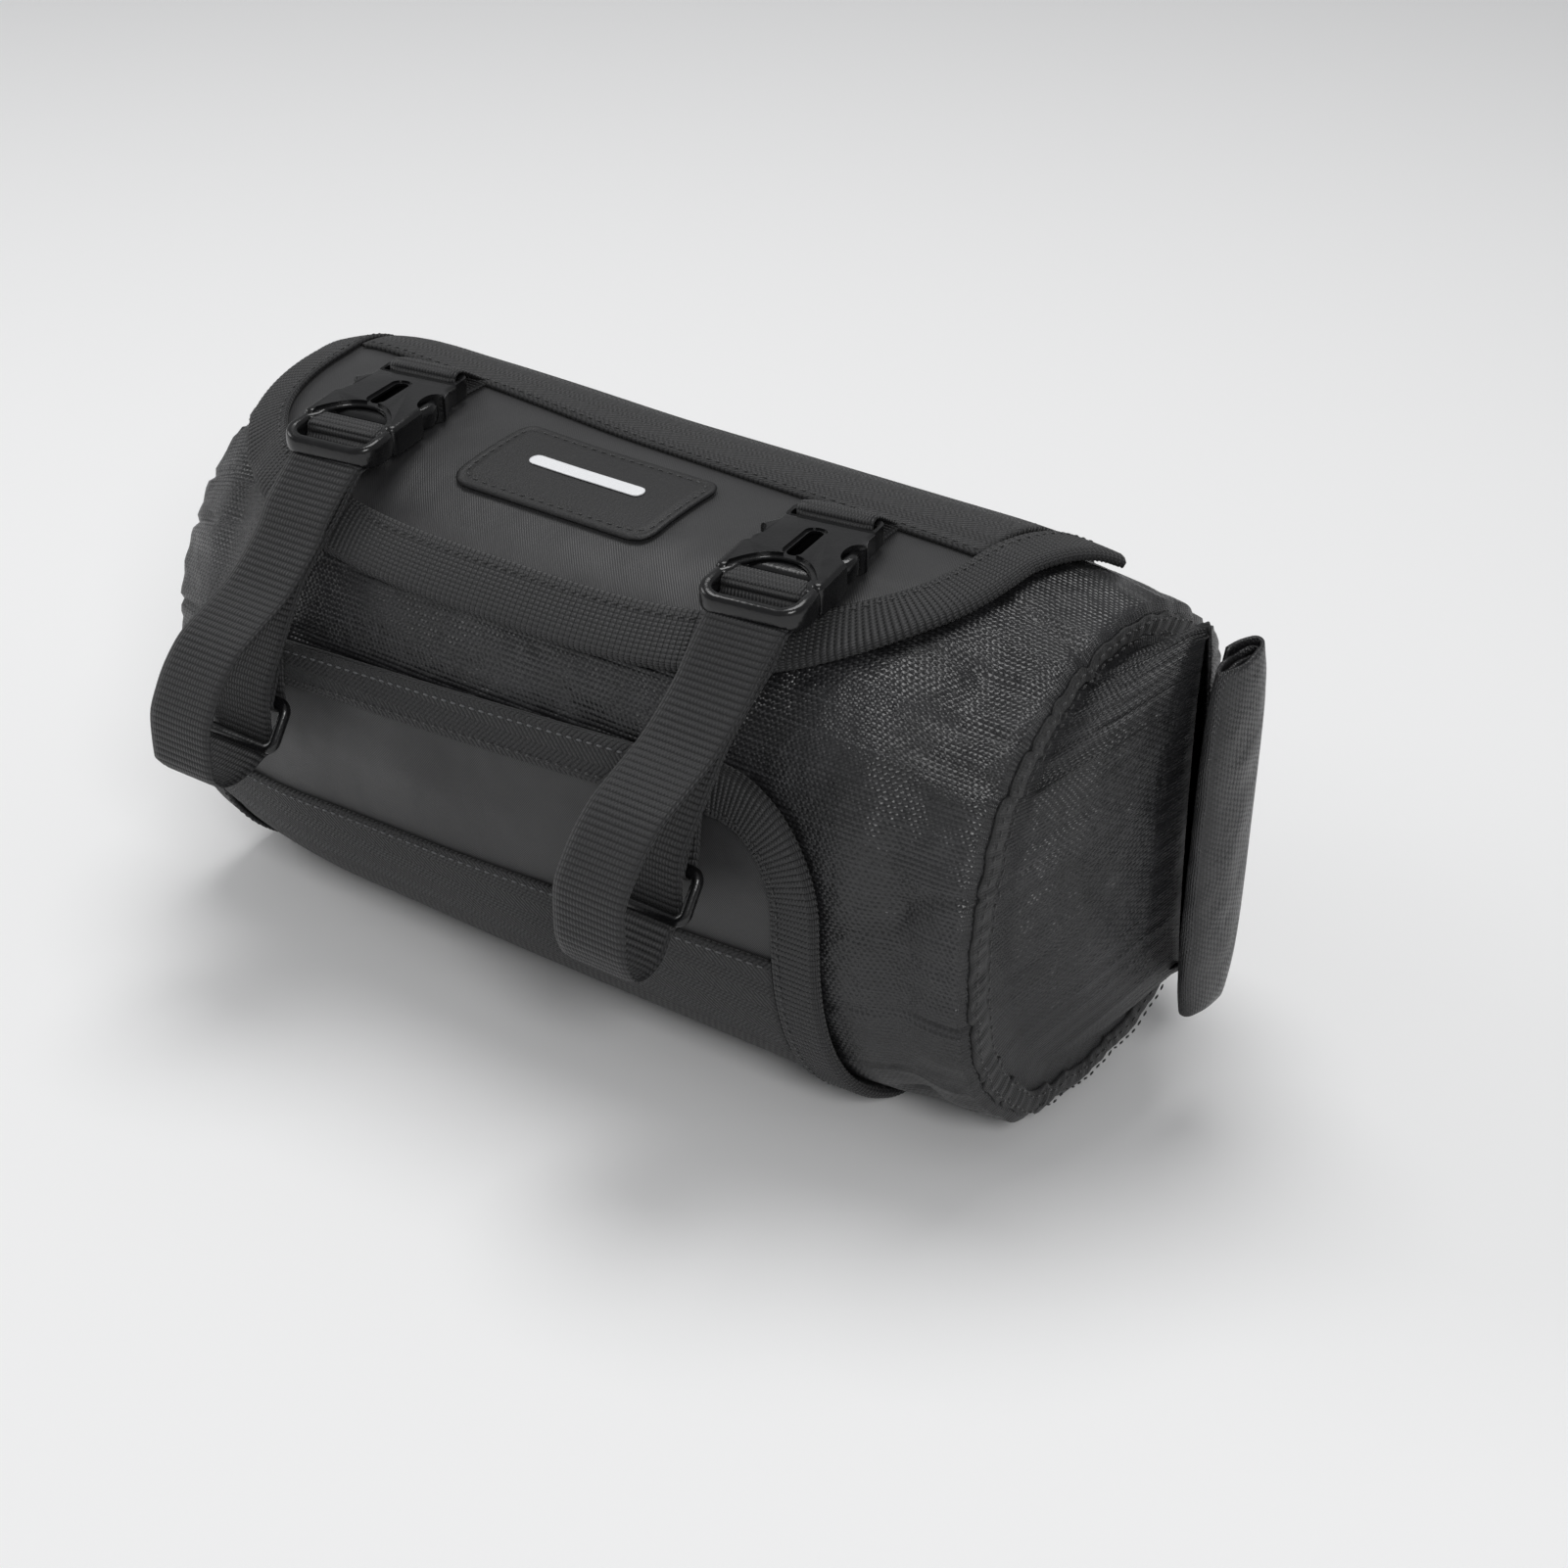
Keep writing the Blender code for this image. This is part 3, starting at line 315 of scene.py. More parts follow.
def wall(obj, thick):
    """A wall outwards from an open surface, or inwards if thick is negative."""
    solid = obj.modifiers.new("Wall", "SOLIDIFY")
    solid.thickness = abs(thick)
    solid.offset = 1 if thick > 0 else -1
    return obj


def slack(x, turn):
    """How far loose fabric falls in: soft hollows, creases, and gathers by the rims."""
    cos, sin = math.cos(turn), math.sin(turn)
    soft = 0.5 + 0.5 * noise.noise(Vector((x * 22, cos * 1.9, sin * 1.9)))
    near = max(0.0, (abs(share_along(x)) - 0.62) / 0.38)
    long_ = noise.noise(Vector((x * 11 + 3, cos * 3.4, sin * 3.4)))
    crease = max(0.0, 1 - abs(long_) * 7) ** 2 * (0.25 + near)
    cross = noise.noise(Vector((x * 34 + 9, cos * 2.3 + sin, sin * 2.3)))
    crease += max(0.0, 1 - abs(cross) * 8) ** 2 * 0.35 * near
    wave = 0.5 + 0.5 * math.sin(GATHERS * turn + 3 * noise.noise(Vector((1.0, cos * 3, sin * 3))))
    return SLACK * soft + CREASE * crease * 0.6 + GATHER * wave * near ** 3


def end_point(row, end, turn, out=0.0):
    """A point of the tube beyond a rim."""
    rim = end.side * end.rim
    on_rim = skin(rim, turn, -slack(rim, turn))
    y = on_rim.y * (1 - row.narrow) + end.back * row.lift
    z = CENTRE + (on_rim.z - CENTRE) * (1 - row.shorten) + end.lift * row.lift
    return Vector((rim + end.side * (end.reach * row.reach + out), y, z))


def between(low, high, share):
    """The end's row at a share of the way from one to the next."""
    mixed = [a + (b - a) * share for a, b in zip(low[:4], high[:4])]
    return EndRow(*mixed, 1)


def end_rows():
    rows = []
    for low, high in zip(END_ROWS, END_ROWS[1:]):
        rows += [between(low, high, (n + 1) / high.steps) for n in range(high.steps)]
    return rows


def bag_point(i, j):
    turn = 2 * math.pi * (j % BAG_AROUND) / BAG_AROUND
    rows = end_rows_list
    if i < len(rows):
        end, row = ENDS[0], rows[len(rows) - 1 - i]
    elif i <= len(rows) + BAG_ALONG:
        share = (i - len(rows)) / BAG_ALONG
        x = -RIM_LEFT + (RIM_LEFT + RIM_RIGHT) * share
        return skin(x, turn, -slack(x, turn))
    else:
        end, row = ENDS[1], rows[i - len(rows) - BAG_ALONG - 1]
    pucker = math.sin(GATHERS * 1.5 * turn + 2 * noise.noise(Vector((math.cos(turn) * 4, math.sin(turn) * 4, row.reach * 3))))
    fade = max(0.0, row.narrow - 0.2) * (1 - row.reach)
    return end_point(row, end, turn, -0.0022 * fade * (1 + pucker))


end_rows_list = end_rows()
bag_columns = 2 * len(end_rows_list) + BAG_ALONG
mesh = grid("bag_skin", bag_columns, BAG_AROUND, bag_point,
            lambda i, j: (i * (RIM_LEFT + RIM_RIGHT) / BAG_ALONG, j * GIRTH / BAG_AROUND), close=True)
ripstop_nylon = ripstop()
bag_skin = wall(piece("bag_skin", mesh, ripstop_nylon, "coated_ripstop", "dry_bag"), -BAG_WALL)


# End bands
# A hem of the same nylon, gathered on a drawn thread and stitched twice, lies on
# each end face just inside the rim. The gathers stand up as small pleats.
BAND_THICK = 0.0009
BAND_PLEATS = 84
BAND_ROWS = 7
BAND_STEPS = 6  # columns of faces to a pleat
PLEAT = 0.0011
STITCH_LENGTH = 0.0024
STITCH_WIDTH = 0.00035


def gathered_nylon():
    """Matt side of the coated nylon, with a plain weave. Its colour is darker than the tube's as painted
    shade on the end faces.
    """
    mat, tree, shader, place, u, v = finish("gathered_nylon", "111112", 0.62, {"Sheen Weight": 0.1})
    relief(tree, shader, woven(tree, u, v, 0.0010, 0.0010), 0.00014)
    tinted(tree, shader, "0b0b0c", "1c1c1d", blotches(tree, place, 90, 3, 0, 1))
    return mat


def thread(name, colour):
    """Bonded polyester thread: smooth and slightly glossy."""
    mat, tree, shader, place, u, v = finish(name, colour, 0.45, {"Sheen Weight": 0.2})
    rough = blotches(tree, place, 600, 2, 0.38, 0.55)
    tree.links.new(rough, shader.inputs["Roughness"])
    return mat


def stitches(name, spots, mat, length=STITCH_LENGTH, gap=0.0012):
    """A row of stitches along points: each one is a small spindle that lies on them."""
    bm = bmesh.new()
    travelled, wanted = 0.0, 0.0
    for start, end in zip(spots, spots[1:]):
        step = (end - start).length
        while wanted <= travelled + step and step > 0:
            at = start.lerp(end, (wanted - travelled) / step)
            turned = (end - start).to_track_quat("X", "Z").to_matrix().to_4x4()
            size = Matrix.Diagonal((length / 2, STITCH_WIDTH, STITCH_WIDTH, 1))
            bmesh.ops.create_icosphere(bm, subdivisions=1, radius=1,
                                       matrix=Matrix.Translation(at) @ turned @ size)
            wanted += length + gap
        travelled += step
    mesh = bpy.data.meshes.new(name)
    bm.to_mesh(mesh)
    bm.free()
    return piece(name, mesh, mat, "webbing")


def band_row(share):
    return between(END_ROWS[1], END_ROWS[2], 0.10 + 0.80 * share)


# The hem band is coloured darker than the tube: painted shade on the end faces, which turn away from the
# lights.
hem_nylon_painted_shade = gathered_nylon()
pale_thread = thread("pale_thread", "4c4d4f")
dark_thread = thread("dark_thread", "141415")
for end in ENDS:
    columns = BAND_PLEATS * BAND_STEPS

    def band_point(i, j, end=end, columns=columns):
        turn = 2 * math.pi * (j % columns) / columns
        wave = noise.noise(Vector((math.cos(turn) * 9, math.sin(turn) * 9, 0)))
        pleat = math.sin(BAND_PLEATS * turn + 2.5 * wave) * (0.55 + 0.6 * wave)
        share = i / BAND_ROWS
        ripple = PLEAT * (0.5 + 0.5 * pleat) * (0.25 + 0.75 * math.sin(math.pi * share))
        return end_point(band_row(share), end, turn, CLEAR * 2 + ripple)

    mesh = grid("end_band_skin_" + end.name, BAND_ROWS, columns, band_point,
                lambda i, j: (i * 0.0016, j * GIRTH / columns), close=True)
    if end.side > 0:
        mesh.flip_normals()
    band = piece("end_band_skin_" + end.name, mesh, hem_nylon_painted_shade, "webbing", "end_band_" + end.name)
    wall(band, BAND_THICK)
    for n, share in enumerate((0.16, 0.84)):
        spots = [end_point(band_row(share), end, math.radians(a), 0.0022) for a in range(0, 361, 2)]
        stitches(f"end_stitches_{end.name}_{n}", spots, dark_thread)


# Rolled ends
# Beyond its gusset the tube is pressed flat and wound up three times, which keeps
# water out. The coated fabric springs a little, so its windings stand apart.
ROLL_DEPTH = 0.034
ROLL_DROP = 0.006
ROLL_WALL = 0.0011
ROLL_WINDINGS = 3
ROLL_PITCH = 0.0021
ROLL_STEPS = 40  # faces to a winding
ROLL_LEVELS = 60


for end in ENDS:
    near = end.side * (end.rim + end.reach + 3 * CLEAR)

    def roll_point(i, j, end=end, near=near):
        angle = 2 * math.pi * j / ROLL_STEPS
        share = i / ROLL_LEVELS
        slip = abs(2 * share - 1) ** 5
        inward_ = ROLL_PITCH * angle / (2 * math.pi)
        thick = (end.thick / 2 - ROLL_WALL - inward_) * (1 - 0.30 * slip)
        deep = (ROLL_DEPTH / 2 - ROLL_WALL - inward_) * (1 - 0.25 * slip)
        crinkle = noise.noise(Vector((share * 13, angle * 1.3, end.side))) * 0.0007
        thick -= 0.0005 + crinkle * 0.6
        deep += crinkle
        x = near + end.side * (end.thick / 2 - thick * math.cos(angle))
        y = end.back + end.lean * (share - 0.5) + deep * math.sin(angle)
        tall = end.roll - 0.012 * inward_ / ROLL_PITCH / ROLL_WINDINGS
        z = CENTRE + end.lift - ROLL_DROP + tall * (share - 0.5) + crinkle
        return Vector((x, y, z))

    steps = ROLL_WINDINGS * ROLL_STEPS
    mesh = grid("end_roll_skin_" + end.name, ROLL_LEVELS, steps, roll_point,
                lambda i, j: (i * 0.112 / ROLL_LEVELS, j * 0.080 / ROLL_STEPS))
    roll = piece("end_roll_skin_" + end.name, mesh, ripstop_nylon, "coated_ripstop",
                 "end_roll_" + end.name)
    wall(roll, ROLL_WALL)
    roll.modifiers["Wall"].offset = 0


# Holster panels
# Four pieces of coated nylon on thin foam lie round the dry bag: a flap over the
# crown, the front with its rounded mouth, a base and a back. Their edges are bound.
PANEL_HALF = 0.129
PANEL_SHIFT = -0.009
PANEL_CORNER = 0.036
FLAP_HALF = 0.134
FLAP_FLARE = 0.008
FLAP_POWER = 2.9
FLAP_ARC = 0.057
CROWN_ARC = 0.129
CROWN_LEAN = -0.045
MOUTH_ARC = 0.035
MOUTH_LEAN = 0.055
SEAM_ARC = 0.048
BACK_SEAM_ARC = 0.186
BACK_TAPE_WIDTH = 0.038
BINDING_WIDTH = 0.0125
MOUTH_TAPE_WIDTH = 0.013
BOTTOM_TAPE_WIDTH = 0.030
PANEL_COLUMNS = 110
FLAP_BACK = CROWN_ARC + BACK_TAPE_WIDTH
BACK_SEAM = GIRTH - BACK_SEAM_ARC


def coated(name, dark, light, roughness):
    """Nylon under a thick soft coating: a low twill shows through it, and it shines
    broadly. The real twill is 0.4 mm and is drawn at 0.9 mm so that it shows."""
    mat, tree, shader, place, u, v = finish(name, dark, roughness, {
        "Sheen Weight": 0.1, "Specular IOR Level": 0.45})
    slant = add(tree, "ShaderNodeMath", {"operation": "ADD"}, {0: u, 1: v})
    soft = relief(tree, shader, blotches(tree, place, 28, 2, 0, 1), 0.0010)
    relief(tree, shader, ribs(tree, slant.outputs[0], 0.0009), 0.00006, soft)
    tinted(tree, shader, dark, light, blotches(tree, place, 22, 4, 0, 1))
    return mat


def rounded_half(half, corner, beyond):
    """Half the width of a panel, this far in from its rounded edge."""
    if beyond >= corner:
        return half
    return half - corner + math.sqrt(max(corner**2 - (corner - beyond) ** 2, 0.0))


def flap_half(arc):
    if arc > CROWN_ARC:
        return FLAP_HALF + FLAP_FLARE * min(1.0, (arc - CROWN_ARC) / BACK_TAPE_WIDTH)
    share = min(0.99, (CROWN_ARC - arc) / (CROWN_ARC - FLAP_ARC))
    return FLAP_HALF * (1 - share**FLAP_POWER) ** (1 / FLAP_POWER)


def panel(name, low, high, cell, half_at, mat, slot, node, out=PANEL_OUT, thick=PANEL_THICK,
          low_lean=0.0, high_lean=0.0, shift=0.0, columns=PANEL_COLUMNS):
    """A sheet round the bag from one arc to another, with its half width at each."""
    rows = math.ceil((high - low) / cell)

    def spot(i, j):
        arc = low + (high - low) * j / rows
        x = shift + half_at(arc) * (2 * i / columns - 1)
        return x, arc + (low_lean + (high_lean - low_lean) * j / rows) * x

    def point(i, j):
        x, arc = spot(i, j)
        return skin(x, turn_of(arc), out)

    mesh = grid(name, columns, rows, point, spot)
    return wall(piece(name, mesh, mat, slot, node), thick)


def mouth_half(arc):
    return rounded_half(PANEL_HALF, PANEL_CORNER, MOUTH_ARC - arc + 0.0003)


def laid(obj, low, high, half_at, shift=0.0):
    """Works out places along a panel's middle line and its half width at each, and leaves the panel as it is.
    """
    arcs = [low + (high - low) * n / 40 for n in range(41)]
    spots = [skin(shift, turn_of(arc), PANEL_OUT) for arc in arcs]
    halves = [half_at(arc) for arc in arcs]


# One coated nylon in two copies: the flap's copy is lighter as painted light on the top, and the front and
# back panels' copy is darker as painted shade.
flap_nylon_painted_light = coated("coated_nylon_flap", "212122", "2b2b2c", 0.46)
panel_nylon_painted_shade = coated("coated_nylon_front", "19191a", "242425", 0.40)
flap = panel("flap_skin", FLAP_ARC, FLAP_BACK, 0.003, flap_half, flap_nylon_painted_light, "coated_fabric", "flap")
laid(flap, FLAP_ARC, FLAP_BACK, flap_half)
front_skin = panel("front_skin", -SEAM_ARC, MOUTH_ARC, 0.003, mouth_half, panel_nylon_painted_shade,
                   "coated_fabric", "front_panel", high_lean=MOUTH_LEAN, shift=PANEL_SHIFT)
laid(front_skin, -SEAM_ARC, MOUTH_ARC, mouth_half, PANEL_SHIFT)
back_span = (FLAP_BACK + 2 * CLEAR, BACK_SEAM - 2 * CLEAR)
back_skin = panel("back_skin", *back_span, 0.004, lambda _: PANEL_HALF, panel_nylon_painted_shade,
                  "coated_fabric", "back_panel", shift=PANEL_SHIFT)
laid(back_skin, *back_span, lambda _: PANEL_HALF, PANEL_SHIFT)


# Woven base and tapes
# The base is heavy woven nylon, and flat herringbone tapes are sewn along the
# crown, the mouth and both lower seams, with a row of lockstitch at each edge.
BASKET = 0.0022  # one cell of the base's basket weave
HERRING_STEP = 0.0050
HERRING_PITCH = 0.0019


def herringbone():
    """Nylon herringbone tape: matt threads in slanted rows that turn at each step."""
    mat, tree, shader, place, u, v = finish("herringbone_tape", "151516", 0.72, {
        "Sheen Weight": 0.08, "Sheen Roughness": 0.4})
    zigzag = add(tree, "ShaderNodeMath", {"operation": "PINGPONG"}, {0: v, 1: HERRING_STEP})
    slant = add(tree, "ShaderNodeMath", {"operation": "ADD"}, {0: u, 1: zigzag.outputs[0]})
    rows = ribs(tree, slant.outputs[0], HERRING_PITCH)
    fine = woven(tree, u, v, 0.0013, 0.0013)
    height = add(tree, "ShaderNodeMath", {"operation": "MULTIPLY_ADD"}, {0: fine, 1: 0.5, 2: rows})
    relief(tree, shader, height.outputs[0], 0.00035)
    tinted(tree, shader, "0a0a0b", "262627", rows)
    return mat


def basket():
    """Coarse woven nylon: pairs of threads cross over and under each other."""
    mat, tree, shader, place, u, v = finish("basket_nylon", "151516", 0.70, {"Sheen Weight": 0.08})
    cells = woven(tree, u, v, BASKET, BASKET)
    relief(tree, shader, cells, 0.00040)
    tinted(tree, shader, "090909", "222223", cells)
    return mat


def stitch_line(name, places, out, mat):
    """Lockstitch along places given as (x, arc)."""
    stitches(name, [skin(x, turn_of(arc), out) for x, arc in places], mat)


def level(low_x, high_x, arc, lean=0.0, count=90):
    """Places along the bag at an arc that leans."""
    xs = [low_x + (high_x - low_x) * n / count for n in range(count + 1)]
    return [(x, arc + lean * x) for x in xs]


tape_nylon, base_nylon = herringbone(), basket()
base_span = (-BACK_SEAM_ARC, -SEAM_ARC - 2 * CLEAR)
base_skin = panel("base_skin", *base_span, 0.004, lambda _: PANEL_HALF, base_nylon, "webbing",
                  "base_panel", shift=PANEL_SHIFT)
laid(base_skin, *base_span, lambda _: PANEL_HALF, PANEL_SHIFT)
tape_out = TAPE_OUT + CLEAR / 3
crown_half = FLAP_HALF - BINDING_WIDTH - 2 * CLEAR
panel("crown_tape", CROWN_ARC, FLAP_BACK, 0.003, lambda _: crown_half, tape_nylon, "webbing",
      "flap_back_tape", tape_out, TAPE_THICK, low_lean=CROWN_LEAN)
mouth_tape_half = PANEL_HALF - PANEL_CORNER - 10 * CLEAR
panel("mouth_tape_skin", MOUTH_ARC - MOUTH_TAPE_WIDTH, MOUTH_ARC, 0.003, lambda _: mouth_tape_half,
      tape_nylon, "webbing", "mouth_tape", tape_out, TAPE_THICK, MOUTH_LEAN, MOUTH_LEAN, PANEL_SHIFT)
seam_half = PANEL_HALF - BINDING_WIDTH - 2 * CLEAR
panel("bottom_tape_skin", -SEAM_ARC, BOTTOM_TAPE_WIDTH - SEAM_ARC, 0.003, lambda _: seam_half,
      tape_nylon, "webbing", "bottom_tape", tape_out, TAPE_THICK, high_lean=MOUTH_LEAN,
      shift=PANEL_SHIFT)
panel("base_back_tape_skin", BACK_SEAM - BOTTOM_TAPE_WIDTH / 2, BACK_SEAM + BOTTOM_TAPE_WIDTH / 2,
      0.003, lambda _: seam_half, tape_nylon, "webbing", "base_back_tape", tape_out, TAPE_THICK,
      shift=PANEL_SHIFT)
on_tape = tape_out + TAPE_THICK + STITCH_WIDTH * 0.4
inset = 0.0022
left_end, right_end = PANEL_SHIFT - seam_half + inset, PANEL_SHIFT + seam_half - inset
stitch_line("crown_stitches", level(-crown_half + inset, crown_half - inset, CROWN_ARC + inset,
                                    CROWN_LEAN), on_tape, dark_thread)
for n, arc in enumerate((MOUTH_ARC - inset, MOUTH_ARC - MOUTH_TAPE_WIDTH + inset)):
    stitch_line(f"mouth_stitches_{n}",
                level(PANEL_SHIFT - mouth_tape_half + inset, PANEL_SHIFT + mouth_tape_half - inset,
                      arc, MOUTH_LEAN), on_tape, pale_thread if n == 0 else dark_thread)
stitch_line("bottom_stitches", level(left_end, right_end, BOTTOM_TAPE_WIDTH - SEAM_ARC - inset,
                                     MOUTH_LEAN), on_tape, pale_thread)


# Bindings
# Ribbed grosgrain tape is folded over the raw edges of the flap and of the lower
# panels, and sewn down near its inner edge. Its ribs run across it.
RIB_PITCH = 0.0019
RIB_HEIGHT = 0.00032
RIB_STEPS = 4  # faces to a rib
BINDING_COLUMNS = 6


def grosgrain():
    """Nylon grosgrain and webbing: thick ribs bound by fine warp threads."""
    mat, tree, shader, place, u, v = finish("nylon_webbing", "151516", 0.55, {
        "Sheen Weight": 0.08, "Sheen Roughness": 0.35, "Specular IOR Level": 0.45})
    warp = ribs(tree, u, 0.0011)
    rib = ribs(tree, v, RIB_PITCH)
    height = add(tree, "ShaderNodeMath", {"operation": "MULTIPLY"}, {0: warp, 1: rib})
    relief(tree, shader, height.outputs[0], 0.00030)
    tinted(tree, shader, "060607", "2a2a2b", rib)
    return mat


def resampled(path, step):
    """Places at an even spacing along a path of points."""
    path = [Vector(p) for p in path]
    made, travelled, wanted = [], 0.0, 0.0
    for start, end in zip(path, path[1:]):
        length = (end - start).length
        while length > 0 and wanted <= travelled + length:
            made.append(start.lerp(end, (wanted - travelled) / length))
            wanted += step
        travelled += length
    return made


def flap_path():
    """(x, arc) along the flap's edge, from its back left corner to its back right."""
    path = [(-flap_half(CROWN_ARC + BACK_TAPE_WIDTH * n / 6), CROWN_ARC + BACK_TAPE_WIDTH * n / 6)
            for n in range(6, -1, -1)]
    for n in range(1, 61):
        angle = math.pi / 2 * n / 60
        across = math.cos(angle) ** (2 / FLAP_POWER)
        down = math.sin(angle) ** (2 / FLAP_POWER)
        path.append((-FLAP_HALF * across, CROWN_ARC - (CROWN_ARC - FLAP_ARC) * down))
    return path + [(-x, arc) for x, arc in reversed(path[:-1])]


def side_path(side, back_arc):
    """(x, arc) along a side of the front panel, round its corner and under the bag."""
    run = PANEL_HALF - PANEL_CORNER
    path = []
    for n in range(25):
        angle = math.pi / 2 * n / 24
        x = PANEL_SHIFT + side * (run + PANEL_CORNER * math.sin(angle))
        arc = MOUTH_ARC - PANEL_CORNER * (1 - math.cos(angle))
        share = (arc + SEAM_ARC) / (MOUTH_ARC + SEAM_ARC)
        path.append((x, arc + MOUTH_LEAN * share * x))
    edge, low = path[-1]
    return path + [(edge, low + (back_arc - low) * n / 60) for n in range(1, 61)]


def binding(name, path, out, side, node):
    """Grosgrain over an edge: it follows the path and lies inside it."""
    path = resampled(path, RIB_PITCH / RIB_STEPS)
    reach = 6
    under = PANEL_OUT + 0.0006
    lanes = [(-0.0005, under), (-0.0011, (under + out) / 2), (-0.0007, out - 0.0003)]
    lanes += [(BINDING_WIDTH * n / BINDING_COLUMNS, out) for n in range(BINDING_COLUMNS + 1)]

    def spot(inward, j):
        run = path[min(j + reach, len(path) - 1)] - path[max(j - reach, 0)]
        return path[j] + Vector((-run.y, run.x)).normalized() * side * inward

    def point(i, j):
        x, arc = spot(lanes[i][0], j)
        rib = math.sin(math.pi * (j % RIB_STEPS) / RIB_STEPS)
        return skin(x, turn_of(arc), lanes[i][1] + RIB_HEIGHT * rib)

    def flat(i, j):
        return i * BINDING_WIDTH / BINDING_COLUMNS, j * RIB_PITCH / RIB_STEPS

    mesh = grid(name, len(lanes) - 1, len(path) - 1, point, flat)
    if side > 0:
        mesh.flip_normals()
    wall(piece(name, mesh, webbing_nylon, "webbing", node), TAPE_THICK)
    seam = [spot(BINDING_WIDTH * 0.82, j) for j in range(0, len(path), 6)]
    line = [skin(x, turn_of(arc), out + TAPE_THICK + RIB_HEIGHT) for x, arc in seam]
    stitches(name + "_stitches", line, dark_thread)


webbing_nylon = grosgrain()
binding("flap_binding_skin", flap_path(), TAPE_OUT + 1.5 * CLEAR, 1, "flap_binding")
for name, side in (("left", -1), ("right", 1)):
    binding("side_binding_skin_" + name, side_path(side, -GIRTH + FLAP_BACK + 10 * CLEAR), TAPE_OUT,
            -side, "side_binding_" + name)


# Badge
# A plain moulded rubber badge with round corners is sewn to the flap through the
# groove along its edge. One slim bar of white reflective film lies across it.
PATCH_LENGTH = 0.074
PATCH_WIDTH = 0.034
PATCH_THICK = 0.0016
PATCH_CORNER = 0.006
PATCH_ARC = 0.102
PATCH_RIM = 0.0016  # width of the raised edge
PATCH_GROOVE = 0.0005
BAR_LENGTH = 0.042
BAR_WIDTH = 0.0045
BAR_THICK = 0.0004


def rubber():
    """Moulded rubber: matt and dark, with the fine grain of its mould."""
    mat, tree, shader, place, u, v = finish("moulded_rubber", "141415", 0.55, {})
    relief(tree, shader, blotches(tree, place, 1800, 2, 0, 1), 0.00008)
    return mat


def film():
    """White reflective film: glass beads under a clear face."""
    mat, tree, shader, place, u, v = finish("reflective_film", "e9eaec", 0.35, {})
    relief(tree, shader, woven(tree, u, v, 0.0008, 0.0008), 0.00004)
    return mat


def from_edge(x, arc):
    """How far a place lies in from the badge's edge."""
    off_x = abs(x) - (PATCH_LENGTH / 2 - PATCH_CORNER)
    off_arc = abs(arc - PATCH_ARC) - (PATCH_WIDTH / 2 - PATCH_CORNER)
    outside = math.hypot(max(off_x, 0), max(off_arc, 0)) + min(max(off_x, off_arc), 0)
    return PATCH_CORNER - outside


def patch_spot(i, j):
    arc = PATCH_ARC + PATCH_WIDTH * (j / 34 - 0.5)
    beyond = PATCH_WIDTH / 2 - abs(arc - PATCH_ARC)
    return rounded_half(PATCH_LENGTH / 2, PATCH_CORNER, beyond) * (2 * i / 74 - 1), arc


def patch_point(i, j):
    x, arc = patch_spot(i, j)
    inside = from_edge(x, arc)
    groove = max(0.0, 1 - abs(inside - PATCH_RIM * 1.6) / (PATCH_RIM * 0.8))
    lip = max(0.0, 1 - inside / (PATCH_RIM * 0.5))
    return skin(x, turn_of(arc), TAPE_OUT + PATCH_THICK - PATCH_GROOVE * groove - 0.0006 * lip**2)


mesh = grid("badge", 74, 34, patch_point, patch_spot)
badge_rubber = rubber()
wall(piece("badge", mesh, badge_rubber, "rubber", "patch"), -PATCH_THICK * 0.6)
panel("badge_bar", PATCH_ARC - BAR_WIDTH / 2, PATCH_ARC + BAR_WIDTH / 2, 0.0003,
      lambda arc: rounded_half(BAR_LENGTH / 2, BAR_WIDTH / 2 - 1e-5, BAR_WIDTH / 2 - abs(arc - PATCH_ARC)),
      film(), "reflective_film", "patch_bar", TAPE_OUT + PATCH_THICK + CLEAR / 2, BAR_THICK, columns=60)
edge_in = PATCH_RIM * 1.6
badge_line = []
for n in range(241):
    a = 2 * math.pi * n / 240
    half_x, half_arc = PATCH_LENGTH / 2 - edge_in, PATCH_WIDTH / 2 - edge_in
    power = 2 / 9
    badge_line.append((half_x * math.copysign(abs(math.cos(a)) ** power, math.cos(a)),
                       PATCH_ARC + half_arc * math.copysign(abs(math.sin(a)) ** power, math.sin(a))))
stitch_line("badge_stitches", badge_line, TAPE_OUT + PATCH_THICK - PATCH_GROOVE * 0.6, dark_thread)


# Straps
# Each strap is one loop of ribbed 25 mm nylon webbing. It runs up from its ring,
# through the buckle's frame and back over the front, and hangs down in a bight.
STRAP_WIDTH = 0.025
STRAP_THICK = 0.0013
STRAP_SPACING = 0.160
BUCKLE_SHIFT = 0.003
RING_SHIFT = -0.008
LOOP_REACH = 0.038
RING_WIRE = 0.0036
RING_HEIGHT = 0.016
RING_WIDTH = 0.034
RING_ARC = 0.001
RING_STAND = 0.0098
RING_CORNER = 0.0028
BUCKLE_WIDTH = 0.033
BUCKLE_LENGTH = 0.058
BUCKLE_THICK = 0.010
BUCKLE_TURN = math.radians(8)
BUCKLE_TILT = math.radians(3)
TAIL_THICK = 0.006
REAR_SLOT_END = 0.945
TAB_LENGTH = 0.013
STRAP_RIB = 0.0021
STRAP_COLUMNS = 10

